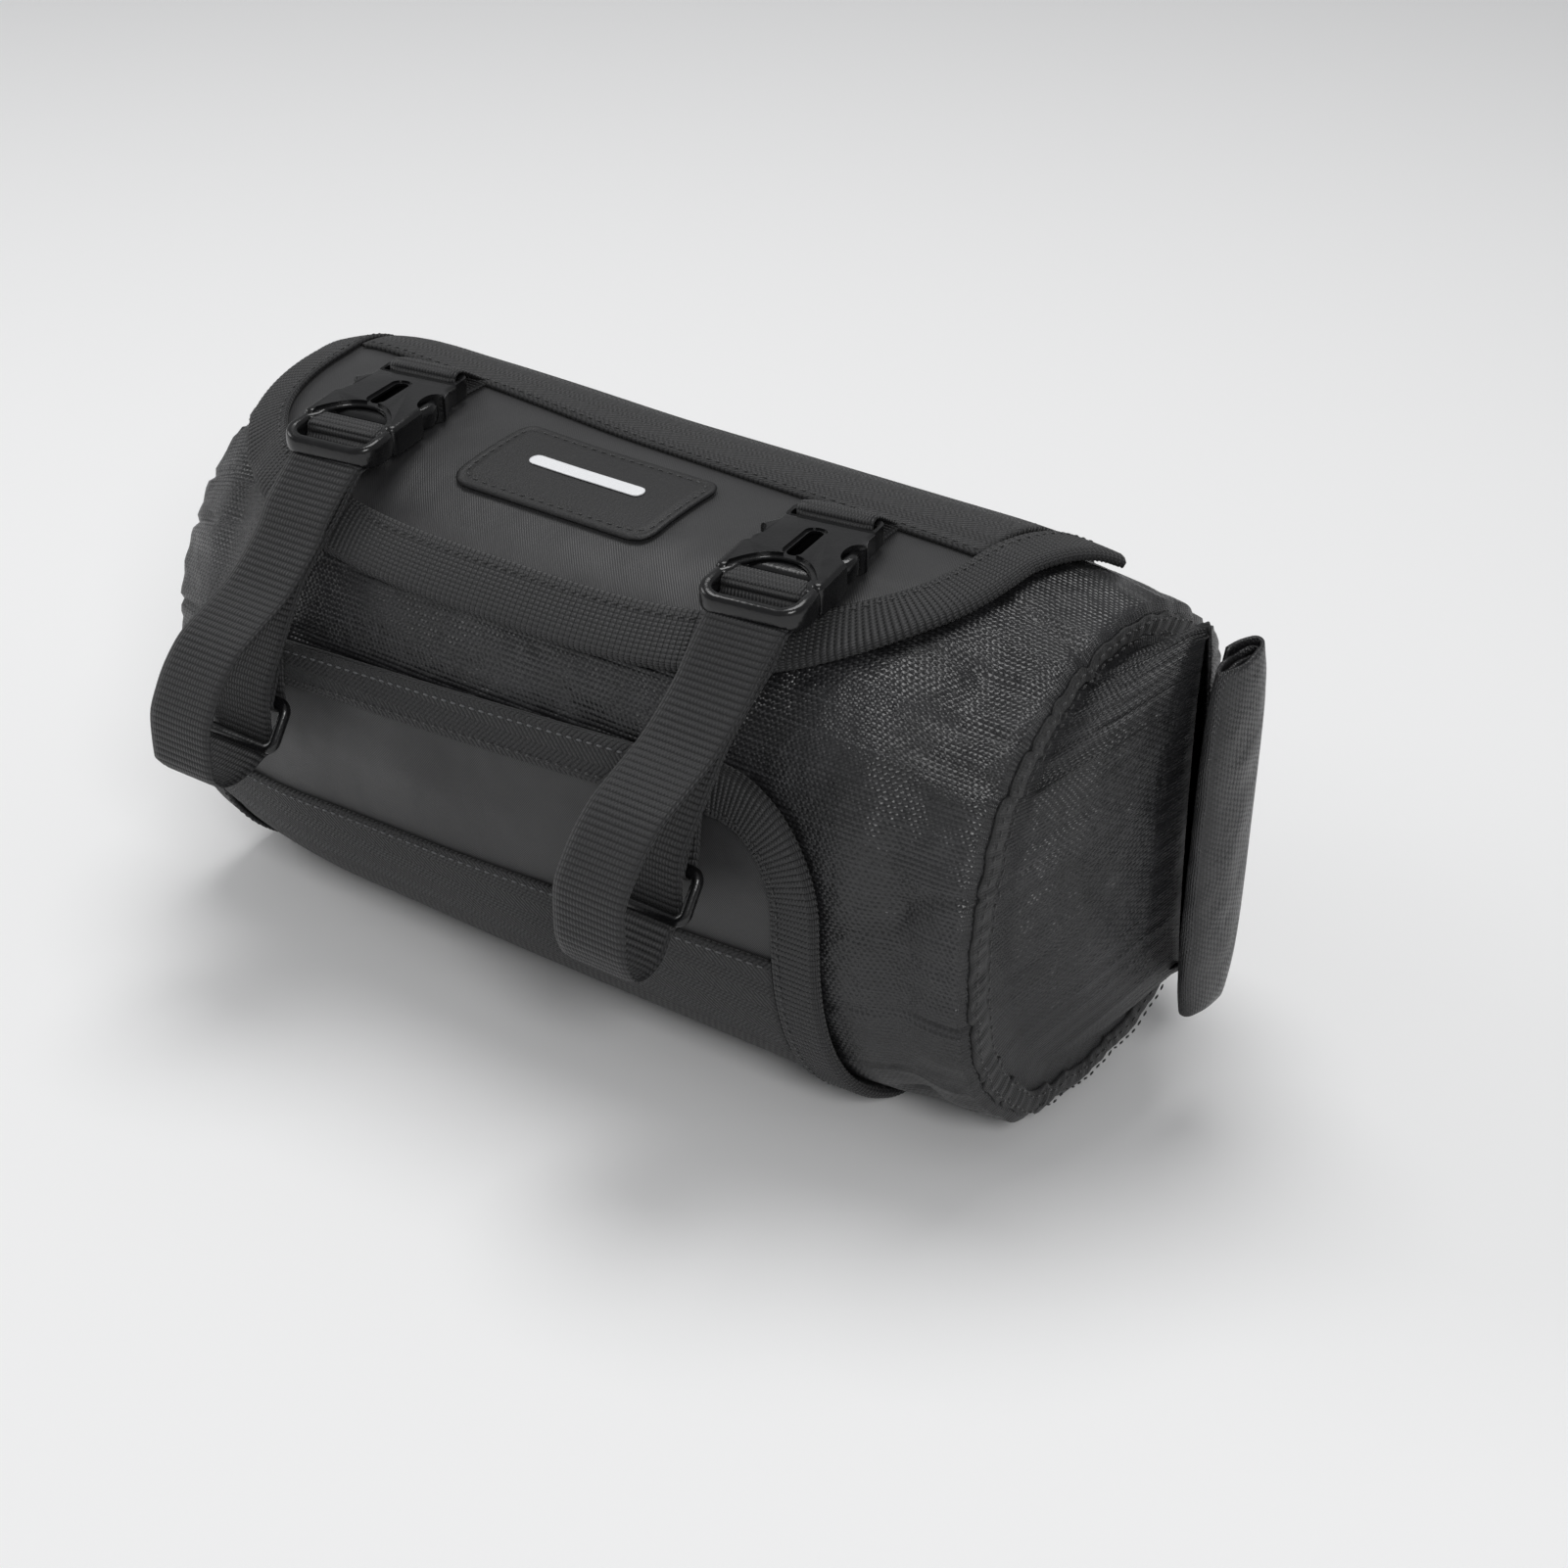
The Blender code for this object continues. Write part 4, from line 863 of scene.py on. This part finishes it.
Strap = namedtuple("Strap", "name side hang")
STRAPS = (Strap("left", -1, 0.08), Strap("right", 1, 0.15))
LoopPoint = namedtuple("LoopPoint", "forward height")
INNER_RUN = (
    LoopPoint(0.25, 0.10),
    LoopPoint(0.24, 0.22),
    LoopPoint(0.16, 0.36),
    LoopPoint(0.08, 0.50),
    LoopPoint(0.00, 0.62),
    LoopPoint(-0.12, 0.72),
    LoopPoint(-0.29, 0.82),
)
OUTER_RUN = (
    LoopPoint(-0.17, 0.86),
    LoopPoint(-0.09, 0.77),
    LoopPoint(0.03, 0.69),
    LoopPoint(0.20, 0.60),
    LoopPoint(0.44, 0.53),
    LoopPoint(0.67, 0.46),
    LoopPoint(0.81, 0.37),
    LoopPoint(0.89, 0.27),
    LoopPoint(0.94, 0.16),
    LoopPoint(0.95, 0.00),
)
BEND = (
    LoopPoint(0.93, -0.35),
    LoopPoint(0.84, -0.85),
    LoopPoint(0.68, -1.00),
    LoopPoint(0.50, -0.80),
)
Weave = namedtuple("Weave", "along above")
WEAVE = (
    Weave(0.040, -4.20),
    Weave(0.140, -4.15),
    Weave(0.215, -3.20),
    Weave(0.300, -2.80),
    Weave(0.322, -1.70),
    Weave(0.324, 1.25),
    Weave(0.300, 2.75),
    Weave(0.205, 2.75),
    Weave(0.178, 1.85),
    Weave(0.164, -0.30),
    Weave(0.112, -1.60),
    Weave(0.070, -1.85),
    Weave(0.004, -2.05),
)


def tape_front(x):
    return CROWN_ARC + CROWN_LEAN * x


def buckle_place(side):
    """Where a buckle's own plan lies: its front centre, turned and tilted."""
    x = side * STRAP_SPACING / 2 + BUCKLE_SHIFT
    rear = skin(x, turn_of(tape_front(x) - TAB_LENGTH), PANEL_OUT + PANEL_THICK)
    middle = rear.z + BUCKLE_THICK / 2 + 2 * CLEAR
    turned = Matrix.Rotation(BUCKLE_TURN, 4, "Z") @ Matrix.Rotation(BUCKLE_TILT, 4, "X")
    front = turned @ Vector((0, -BUCKLE_LENGTH, 0))
    return Matrix.Translation(Vector((x, rear.y, middle)) + front) @ turned


def ring_bars(side):
    """The middles of a ring's lower and upper bars."""
    x = side * STRAP_SPACING / 2 + RING_SHIFT
    base = skin(x, turn_of(RING_ARC), OVER_TAPE)
    lower = base - Vector((0, RING_WIRE / 2 + RING_STAND, 0))
    rise = 0.95 * (RING_HEIGHT - RING_WIRE)
    return lower, base + Vector((0, -RING_WIRE / 2 - TAPE_THICK - 2 * CLEAR, rise))


def smoothed(points, closed, parts=6):
    """A rounded line through points, each bend cut between its neighbours."""
    count = len(points)
    made = []
    last = count if closed else count - 1
    for n in range(last):
        if closed:
            a, b, c, d = (points[(n + k) % count] for k in (-1, 0, 1, 2))
        else:
            a, b, c, d = (points[min(max(n + k, 0), count - 1)] for k in (-1, 0, 1, 2))
        slope_b, slope_c = (c - a) * 0.5, (d - b) * 0.5
        reach = (c - b).length
        slope_b *= min(1.0, reach / max(slope_b.length, 1e-9))
        slope_c *= min(1.0, reach / max(slope_c.length, 1e-9))
        for k in range(parts):
            t = k / parts
            made.append(b * (2 * t**3 - 3 * t**2 + 1) + slope_b * (t**3 - 2 * t**2 + t)
                        + c * (3 * t**2 - 2 * t**3) + slope_c * (t**3 - t**2))
    if not closed:
        made.append(points[-1].copy())
    return made


def webbing(name, centres, widths, node, closed=False, thick=STRAP_THICK, pitch=STRAP_RIB):
    """Ribbed webbing along a line. Its wall lies on the side of width x direction."""
    packed = [Vector((*c, *w)) for c, w in zip(centres, widths)]
    line = smoothed(packed, closed)
    if closed:
        line.append(line[0].copy())
    flat_line = [Vector(v[:3]) for v in line]
    lengths = [0.0]
    for start, end in zip(flat_line, flat_line[1:]):
        lengths.append(lengths[-1] + (end - start).length)
    count = max(8, round(lengths[-1] / pitch)) * RIB_STEPS
    rows, at = [], 0
    for n in range(count + 1):
        wanted = lengths[-1] * n / count
        while at < len(lengths) - 2 and lengths[at + 1] < wanted:
            at += 1
        share = (wanted - lengths[at]) / max(lengths[at + 1] - lengths[at], 1e-9)
        rows.append(line[at].lerp(line[at + 1], min(1.0, share)))
    normals = []
    for n, row in enumerate(rows):
        low, high = rows[max(n - 2, 0)], rows[min(n + 2, count)]
        if closed and (n < 2 or n > count - 2):
            low, high = rows[(n - 2) % count], rows[(n + 2) % count]
        run = Vector(high[:3]) - Vector(low[:3])
        normals.append(Vector(row[3:]).cross(run).normalized())
    around = 2 * STRAP_COLUMNS + 2

    def point(i, j):
        row, normal = rows[j], normals[j]
        i %= around
        front = i <= STRAP_COLUMNS
        share = i / STRAP_COLUMNS if front else (around - 1 - i) / STRAP_COLUMNS
        edge = abs(2 * share - 1) ** 12
        rib = math.sin(math.pi * (j % RIB_STEPS) / RIB_STEPS) * RIB_HEIGHT * 0.8
        half = thick / 2 * (1 - 0.45 * edge) - 0.0001 + rib * (1 - edge)
        middle = Vector(row[:3]) + normal * thick / 2
        return middle + Vector(row[3:]) * (2 * share - 1) + normal * (half if front else -half)

    def flat(i, j):
        share = i / STRAP_COLUMNS if i <= STRAP_COLUMNS else (around - 1 - i) / STRAP_COLUMNS
        return share * STRAP_WIDTH, j * RIB_PITCH / RIB_STEPS

    mesh = grid(name, around, count, point, flat, close=True)
    bm = bmesh.new()
    bm.from_mesh(mesh)
    if not closed:
        bmesh.ops.holes_fill(bm, edges=[edge for edge in bm.edges if edge.is_boundary])
    bmesh.ops.recalc_face_normals(bm, faces=bm.faces)
    bm.to_mesh(mesh)
    bm.free()
    return piece(name, mesh, webbing_nylon, "webbing", node)


def strap(spec):
    """One loop: up from the ring, through the buckle, down and round again."""
    matrix = buckle_place(spec.side)
    lower, upper = ring_bars(spec.side)
    top = CENTRE + BAG_RISE + PANEL_OUT + PANEL_THICK
    front = skin(lower.x, turn_of(RING_ARC), PANEL_OUT + PANEL_THICK).y
    tall = top - lower.z
    hang = spec.hang * tall

    def hung(point, unit):
        return front - point.forward * LOOP_REACH, lower.z + point.height * unit

    under = RING_WIRE / 2 + CLEAR + STRAP_THICK
    inner = [(lower.y + under + 0.0005, lower.z), *(hung(point, tall) for point in INNER_RUN)]
    outer = [hung(point, tall) for point in OUTER_RUN]
    outer += [hung(point, hang) for point in BEND]
    outer += [(lower.y - under * 0.15, lower.z - under * 1.02),
              (lower.y + under * 0.65, lower.z - under * 0.84)]

    def leaning(y, z):
        start = upper.z + RING_WIRE
        share = max(0.0, (z - start) / (matrix.translation.z - start))
        return Vector((lower.x + (matrix.translation.x - lower.x) * share, y, z))

    path = [leaning(*spot) for spot in inner]
    across = [Vector((1, 0, 0))] * len(path)
    for step in WEAVE:
        path.append(matrix @ Vector((0, step.along * BUCKLE_LENGTH, step.above * STRAP_THICK)))
        across.append(matrix.to_3x3() @ Vector((1, 0, 0)))
    path += [leaning(*spot) for spot in outer]
    across += [Vector((1, 0, 0))] * len(outer)
    widths = [sum(across[max(n - 2, 0):n + 3], Vector()).normalized() * STRAP_WIDTH / 2
              for n in range(len(path))]
    webbing("strap_webbing_" + spec.name, path, widths, "strap_" + spec.name, closed=True)


for spec in STRAPS:
    strap(spec)


# Rings and tabs
# A moulded acetal bar ring holds the foot of each strap. A short fold of webbing
# is sewn to the mouth tape round its upper bar, and another holds the buckle's tail.
TAB_HALF = STRAP_WIDTH / 2 - 2 * CLEAR


def acetal():
    """Injection-moulded acetal: near black and satin, worn smooth on its edges."""
    mat, tree, shader, place, u, v = finish("moulded_acetal", "0e0e0f", 0.22, {"IOR": 1.49})
    relief(tree, shader, blotches(tree, place, 900, 3, 0, 1), 0.00003)
    rough = blotches(tree, place, 160, 4, 0.17, 0.29)
    tree.links.new(rough, shader.inputs["Roughness"])
    return mat


def rod(name, route, sizes, closed=False, facets=16, power=2.0):
    """A bar along points, with (half across, half tall) in metres at each, in a plan
    where +Z is up. Its section is round, or squarer where the power is over 2."""
    count = len(route)

    def point(i, j):
        k = j % count
        if closed:
            before, after = route[(k - 1) % count], route[(k + 1) % count]
        else:
            before, after = route[max(k - 1, 0)], route[min(k + 1, count - 1)]
        run = (after - before).normalized()
        side = run.cross(Vector((0, 0, 1))).normalized()
        up = side.cross(run)
        angle = 2 * math.pi * (i % facets) / facets
        cos, sin = math.cos(angle), math.sin(angle)
        across = math.copysign(abs(cos) ** (2 / power), cos) * sizes[k][0]
        tall = math.copysign(abs(sin) ** (2 / power), sin) * sizes[k][1]
        return route[k] + side * across + up * tall

    mesh = grid(name, facets, count if closed else count - 1, point, lambda i, j: (i * 0.001, j * 0.001),
                close=True)
    bm = bmesh.new()
    bm.from_mesh(mesh)
    if not closed:
        bmesh.ops.holes_fill(bm, edges=[edge for edge in bm.edges if edge.is_boundary])
    bmesh.ops.recalc_face_normals(bm, faces=bm.faces)
    bm.to_mesh(mesh)
    bm.free()
    return mesh


def rounded_box(low_x, high_x, low_y, high_y, corner, steps=6):
    """A rectangle's outline with round corners."""
    loop = []
    for centre_x, centre_y, start in ((high_x - corner, high_y - corner, 0),
                                      (low_x + corner, high_y - corner, 90),
                                      (low_x + corner, low_y + corner, 180),
                                      (high_x - corner, low_y + corner, 270)):
        for n in range(steps + 1):
            angle = math.radians(start + 90 * n / steps)
            loop.append((centre_x + corner * math.cos(angle), centre_y + corner * math.sin(angle)))
    return loop


def ring(spec):
    lower, upper = ring_bars(spec.side)
    half_wide = (RING_WIDTH - RING_WIRE) / 2
    half_tall = (lower - upper).length / 2
    loop = rounded_box(-half_wide, half_wide, -half_tall, half_tall, RING_CORNER)
    route = [Vector((x, y, 0)) for x, y in loop]
    mesh = rod("bar_ring_" + spec.name, route, [(RING_WIRE / 2, RING_WIRE / 2)] * len(route), True)
    up = (upper - lower).normalized()
    turned = Matrix((Vector((1, 0, 0)), up, Vector((1, 0, 0)).cross(up))).transposed().to_4x4()
    mesh.transform(Matrix.Translation((lower + upper) / 2) @ turned)
    piece("bar_ring_" + spec.name, mesh, plastic, "moulded_plastic", "ring_" + spec.name)


def ring_tab(spec):
    _, upper = ring_bars(spec.side)
    x = upper.x
    top = MOUTH_ARC + MOUTH_LEAN * x - 2 * CLEAR
    low = upper.z - CENTRE + RING_WIRE
    down = [turn_of(top + (low - top) * n / 4) for n in range(5)]
    ply = OVER_TAPE + TAPE_THICK + CLEAR
    path, widths = [], []

    def lie(turn, out):
        ends = [skin(x + edge, turn + turn_of(MOUTH_LEAN * edge), out)
                for edge in (-TAB_HALF, TAB_HALF)]
        path.append((ends[0] + ends[1]) / 2)
        widths.append((ends[1] - ends[0]) / 2)

    for turn in down:
        lie(turn, ply)
    for n in range(8):
        angle = -math.pi * n / 6
        path.append(upper + Vector((0, math.cos(angle), math.sin(angle))) * (RING_WIRE / 2 + CLEAR))
        widths.append(Vector((TAB_HALF, 0, 0)))
    for turn in reversed(down[:-2]):
        lie(turn, ply + CLEAR)
    webbing("ring_tab_webbing_" + spec.name, path, widths, "ring_tab_" + spec.name,
            thick=TAPE_THICK, pitch=RIB_PITCH)


def buckle_tab(spec):
    matrix = buckle_place(spec.side)
    long = BUCKLE_LENGTH
    lift = TAIL_THICK / 2 + CLEAR
    slot = REAR_SLOT_END * long - CLEAR
    end = matrix @ Vector((0, long + TAB_LENGTH - 3 * CLEAR, 0))
    turn = turn_of(tape_front(end.x) - 4 * CLEAR)
    ply = TAPE_OUT + TAPE_THICK
    path = [skin(end.x, turn, ply)]
    for y, z in ((long + CLEAR, -lift), (slot, -lift), (slot, lift), (long + CLEAR, lift)):
        path.append(matrix @ Vector((0, y, z)))
    path.append(skin(end.x, turn, ply + CLEAR))
    turned = matrix.to_3x3() @ Vector((TAB_HALF, 0, 0))
    level_ = Vector((TAB_HALF, CROWN_LEAN * -TAB_HALF, 0))
    webbing("buckle_tab_webbing_" + spec.name, path, [level_, *[turned] * 4, level_],
            "buckle_tab_" + spec.name, thick=TAPE_THICK, pitch=RIB_PITCH)


plastic = acetal()
for spec in STRAPS:
    ring(spec)
    ring_tab(spec)
    buckle_tab(spec)


# Buckles
# Side-release buckles in moulded acetal. The webbing runs round the frame's bars,
# and two sprung prongs reach from it into the shell and click into its windows.
FRAME_CORNER = 0.0050
RAIL_HALF = 0.0020
RAIL_TALL = 0.0042
FRONT_TALL = 0.0028
TIP = 0.235  # shares of the length: the shell's front tips, and the middle of its arc
ARC_MIDDLE = 0.44
WINDOW = 0.60
TAIL = 0.87
TAIL_HALF = 0.435 * BUCKLE_WIDTH
SHELL_WALL = 0.0018
TIP_RADIUS = 0.0021
SHELL_ROUNDING = 0.0016
LEDGE = 0.0008
BEVEL = 0.0004


def extruded(name, loop, low, high, rounding=0.0):
    """A plate between two heights from its outline, with rounded rims."""
    bm = bmesh.new()
    face = bm.faces.new([bm.verts.new((x, y, low)) for x, y in loop])
    made = bmesh.ops.extrude_face_region(bm, geom=[face])["geom"]
    for item in made:
        if isinstance(item, bmesh.types.BMVert):
            item.co.z = high
    bmesh.ops.recalc_face_normals(bm, faces=bm.faces)
    if rounding:
        rims = [edge for edge in bm.edges if abs(edge.verts[0].co.z - edge.verts[1].co.z) < 1e-6]
        bmesh.ops.bevel(bm, geom=rims, offset=rounding, segments=4, profile=0.5, affect="EDGES",
                        material=-1)
    mesh = bpy.data.meshes.new(name)
    bm.to_mesh(mesh)
    bm.free()
    return mesh


def combined(mesh, others):
    """A mesh after Booleans with (operation, mesh) pairs. The helpers are removed."""
    base = bpy.data.objects.new("base", mesh)
    bpy.context.scene.collection.objects.link(base)
    helpers = [base]
    for operation, other in others:
        tool = bpy.data.objects.new("tool", other)
        bpy.context.scene.collection.objects.link(tool)
        helpers.append(tool)
        change = base.modifiers.new("Change", "BOOLEAN")
        change.operation, change.solver, change.object = operation, "EXACT", tool
    made = bpy.data.meshes.new_from_object(base.evaluated_get(bpy.context.evaluated_depsgraph_get()))
    for obj in helpers:
        bpy.data.objects.remove(obj)
    return made


def frame_mesh():
    """The frame: a rounded front and rails in one bend, a middle bar and the prongs."""
    half, long = BUCKLE_WIDTH / 2, BUCKLE_LENGTH
    edge = half - RAIL_HALF
    front = RAIL_HALF + 0.0002
    route, sizes = [], []
    bend = [(edge - FRAME_CORNER * (1 - math.cos(math.radians(a))),
             front + FRAME_CORNER * (1 - math.sin(math.radians(a)))) for a in range(0, 91, 10)]
    for y, inward in ((0.50, 0.0026), (0.40, 0.0026), (0.27, 0.0022), (0.235, 0.0009), (0.222, 0), (0.18, 0)):
        route.append(Vector((edge - inward, y * long, 0)))
        sizes.append((RAIL_HALF, RAIL_TALL))
    for n, (x, y) in enumerate(bend):
        route.append(Vector((x, y, 0)))
        share = n / (len(bend) - 1)
        sizes.append((RAIL_HALF, RAIL_TALL + (FRONT_TALL - RAIL_TALL) * share))
    left = [Vector((-p.x, p.y, 0)) for p in reversed(route)]
    route, sizes = route + left, sizes + list(reversed(sizes))
    mesh = rod("frame", route, sizes, facets=20, power=3.0)
    bars = []
    for y, tall in ((0.2475, 0.0019), (0.44, 0.0028)):
        wide = 0.0021 if y < 0.3 else 0.0045
        line = [Vector((x, y * long, 0)) for x in (-edge - 0.0003, 0, edge + 0.0003)]
        bars.append(("UNION", rod("bar", line, [(wide, tall)] * 3, facets=16, power=3.0)))
    for side in (-1, 1):
        line = [Vector((side * (half - inward), y * long, 0)) for y, inward in (
            (0.46, 0.0056), (0.52, 0.0048), (0.56, 0.0026), (0.60, 0.0021), (0.64, 0.0023), (0.70, 0.0052))]
        thick = [(0.0019, 0.0026), (0.0018, 0.0030), (0.0020, 0.0036), (0.0021, 0.0038), (0.0020, 0.0036),
                 (0.0012, 0.0024)]
        bars.append(("UNION", rod("prong", line, thick, facets=12, power=2.6)))
    return combined(mesh, bars)


def shell_mesh():
    """The shell: an arched front between two tips, a long slot, windows and a tail bar."""
    half, long = BUCKLE_WIDTH / 2, BUCKLE_LENGTH
    tip_front = TIP * long + TIP_RADIUS
    inner = half - 2 * TIP_RADIUS

    def arch(grow):
        """The front's hollow curve, from right to left, moved into the shell."""
        line = []
        for n in range(25):
            x = 1 - 2 * n / 24
            rise = (ARC_MIDDLE * long - tip_front) * (1 - abs(x) ** 2.4)
            line.append((x * (inner + grow * 0.8), tip_front + grow + rise))
        return line

    right = [(half - TIP_RADIUS * (1 - math.cos(a)), tip_front + TIP_RADIUS * math.sin(a))
             for a in (math.pi * (1 + n / 8) for n in range(9))]
    right += [(half, 0.71 * long), (half - 0.0006, 0.735 * long), (TAIL_HALF, 0.80 * long),
              (TAIL_HALF, TAIL * long)]
    left = [(-x, y) for x, y in reversed(right)]
    plan = right + left + list(reversed(arch(0)[1:-1]))
    body = extruded("shell", plan, -BUCKLE_THICK / 2, BUCKLE_THICK / 2, SHELL_ROUNDING)
    inside = half - 0.0036
    room = BUCKLE_THICK / 2 - SHELL_WALL
    hollow = extruded("hollow", [(-inside, 0.1 * long), (inside, 0.1 * long), (inside, 0.78 * long),
                                 (-inside, 0.78 * long)], -room, room)
    slot = extruded("slot", rounded_box(-0.0022, 0.0022, 0.475 * long, 0.765 * long, 0.0020), 0, 0.02)
    ledge = BUCKLE_THICK / 2 - LEDGE
    front_ledge = extruded("ledge", arch(0.0015) + [(-inner, 0.1 * long), (inner, 0.1 * long)], ledge, 0.02)
    slot_ledge = extruded("ledge", rounded_box(-0.0033, 0.0033, 0.455 * long, 0.785 * long, 0.0031), ledge,
                          0.02)
    changes = [("DIFFERENCE", cut) for cut in (hollow, slot, front_ledge, slot_ledge)]
    for side in (-1, 1):
        oval = [(side * half + 0.0040 * math.cos(a), WINDOW * long + 0.0060 * math.sin(a))
                for a in (2 * math.pi * n / 28 for n in range(28))]
        changes.append(("DIFFERENCE", extruded("window", oval, -0.02, 0.02)))
    rear = extruded("tail", rounded_box(-TAIL_HALF + 0.0003, TAIL_HALF - 0.0003, TAIL * long - 0.0012,
                                        long, 0.0024), -TAIL_THICK / 2, TAIL_THICK / 2)
    slot_half = STRAP_WIDTH / 2 + 0.0004
    gap = extruded("gap", rounded_box(-slot_half, slot_half, 0.885 * long, REAR_SLOT_END * long, 0.0008),
                   -0.02, 0.02)
    changes += [("UNION", rear), ("DIFFERENCE", gap)]
    mesh = combined(body, changes)
    for vert in mesh.vertices:
        share = min(1.0, max(0.0, (vert.co.y / long - 0.66) / 0.16))
        if vert.co.y < TAIL * long and abs(vert.co.z) > TAIL_THICK / 2:
            vert.co.z *= 1 - 0.30 * share
    return mesh


for spec in STRAPS:
    for label, mesh in (("frame", frame_mesh()), ("shell", shell_mesh())):
        mesh.transform(buckle_place(spec.side))
        node = {"frame": "buckle_male_", "shell": "buckle_female_"}[label] + spec.name
        obj = piece(f"buckle_{label}_{spec.name}", mesh, plastic, "moulded_plastic", node)
        round_ = obj.modifiers.new("Round", "BEVEL")
        round_.width, round_.segments, round_.limit_method = BEVEL, 2, "ANGLE"
        round_.angle_limit = math.radians(40)
        round_.use_clamp_overlap = True
        round_.harden_normals = True


# Handlebar loops
# Two plain loops of double webbing on the back, each closed round the place of a
# handlebar and sewn through the back panel.
LOOP_BORE = 0.034
LOOP_THICK = 0.003
LOOP_SPACING = 0.110
LOOP_HEIGHT = 0.004

for side, name in ((-1, "left"), (1, "right")):
    x = side * LOOP_SPACING / 2
    turn = math.pi - math.asin(LOOP_HEIGHT / (BAG_DEPTH / 2))
    back = skin(x, turn, PANEL_OUT + PANEL_THICK + 1.5 * CLEAR)
    radius = LOOP_BORE / 2
    centre = Vector((x, back.y + radius + LOOP_THICK, CENTRE + LOOP_HEIGHT))
    route = [centre + Vector((0, math.cos(a), math.sin(a))) * radius
             for a in (2 * math.pi * n / 24 for n in range(24))]
    webbing("bar_loop_webbing_" + name, list(reversed(route)), [Vector((STRAP_WIDTH / 2, 0, 0))] * 24,
            "bar_loop_" + name, closed=True, thick=LOOP_THICK)


# Studio
# A plain pale floor, wide soft lights and the photograph's own viewing angle.
def light(name, place, aim, size, watts):
    data = bpy.data.lights.new(name, "AREA")
    data.shape, data.size, data.energy = "DISK", size, watts
    lamp = bpy.data.objects.new(name, data)
    lamp.location = place
    lamp.rotation_euler = (Vector(aim) - Vector(place)).to_track_quat("-Z", "Y").to_euler()
    bpy.context.scene.collection.objects.link(lamp)


bm = bmesh.new()
bmesh.ops.create_grid(bm, x_segments=1, y_segments=1, size=20)
mesh = bpy.data.meshes.new("floor")
bm.to_mesh(mesh)
bm.free()
floor = bpy.data.objects.new("floor", mesh)
floor_paint, tree, shader, place, u, v = finish("pale_floor", "f4f4f4", 0.85, {})
mesh.materials.append(floor_paint)
bpy.context.scene.collection.objects.link(floor)

world = bpy.data.worlds.new("studio")
world.use_nodes = True
world.node_tree.nodes["Background"].inputs[0].default_value = linear("f2f3f5")
world.node_tree.nodes["Background"].inputs[1].default_value = 0.32
bpy.context.scene.world = world
light("key", (1.3, -1.2, 1.3), (0, 0, 0.08), 0.6, 15)
light("top", (-0.2, 0.35, 1.6), (0, 0, 0.1), 1.0, 13)
light("fill", (-1.5, -0.5, 0.8), (0, 0, 0.1), 0.8, 5)
bpy.context.scene.view_settings.view_transform = "Standard"

CAMERA_AT = Vector((0.4922, -0.6328, 0.5222))
AZIMUTH = math.radians(35.89)
ELEVATION = math.radians(30.26)
camera = bpy.data.objects.new("camera", bpy.data.cameras.new("camera"))
camera.data.lens = 67.46
camera.data.clip_start = 0.01
back = Vector((math.sin(AZIMUTH) * math.cos(ELEVATION), -math.cos(AZIMUTH) * math.cos(ELEVATION),
               math.sin(ELEVATION)))
camera.location = CAMERA_AT
camera.rotation_euler = (-back).to_track_quat("-Z", "Y").to_euler()
bpy.context.scene.collection.objects.link(camera)
bpy.context.scene.camera = camera
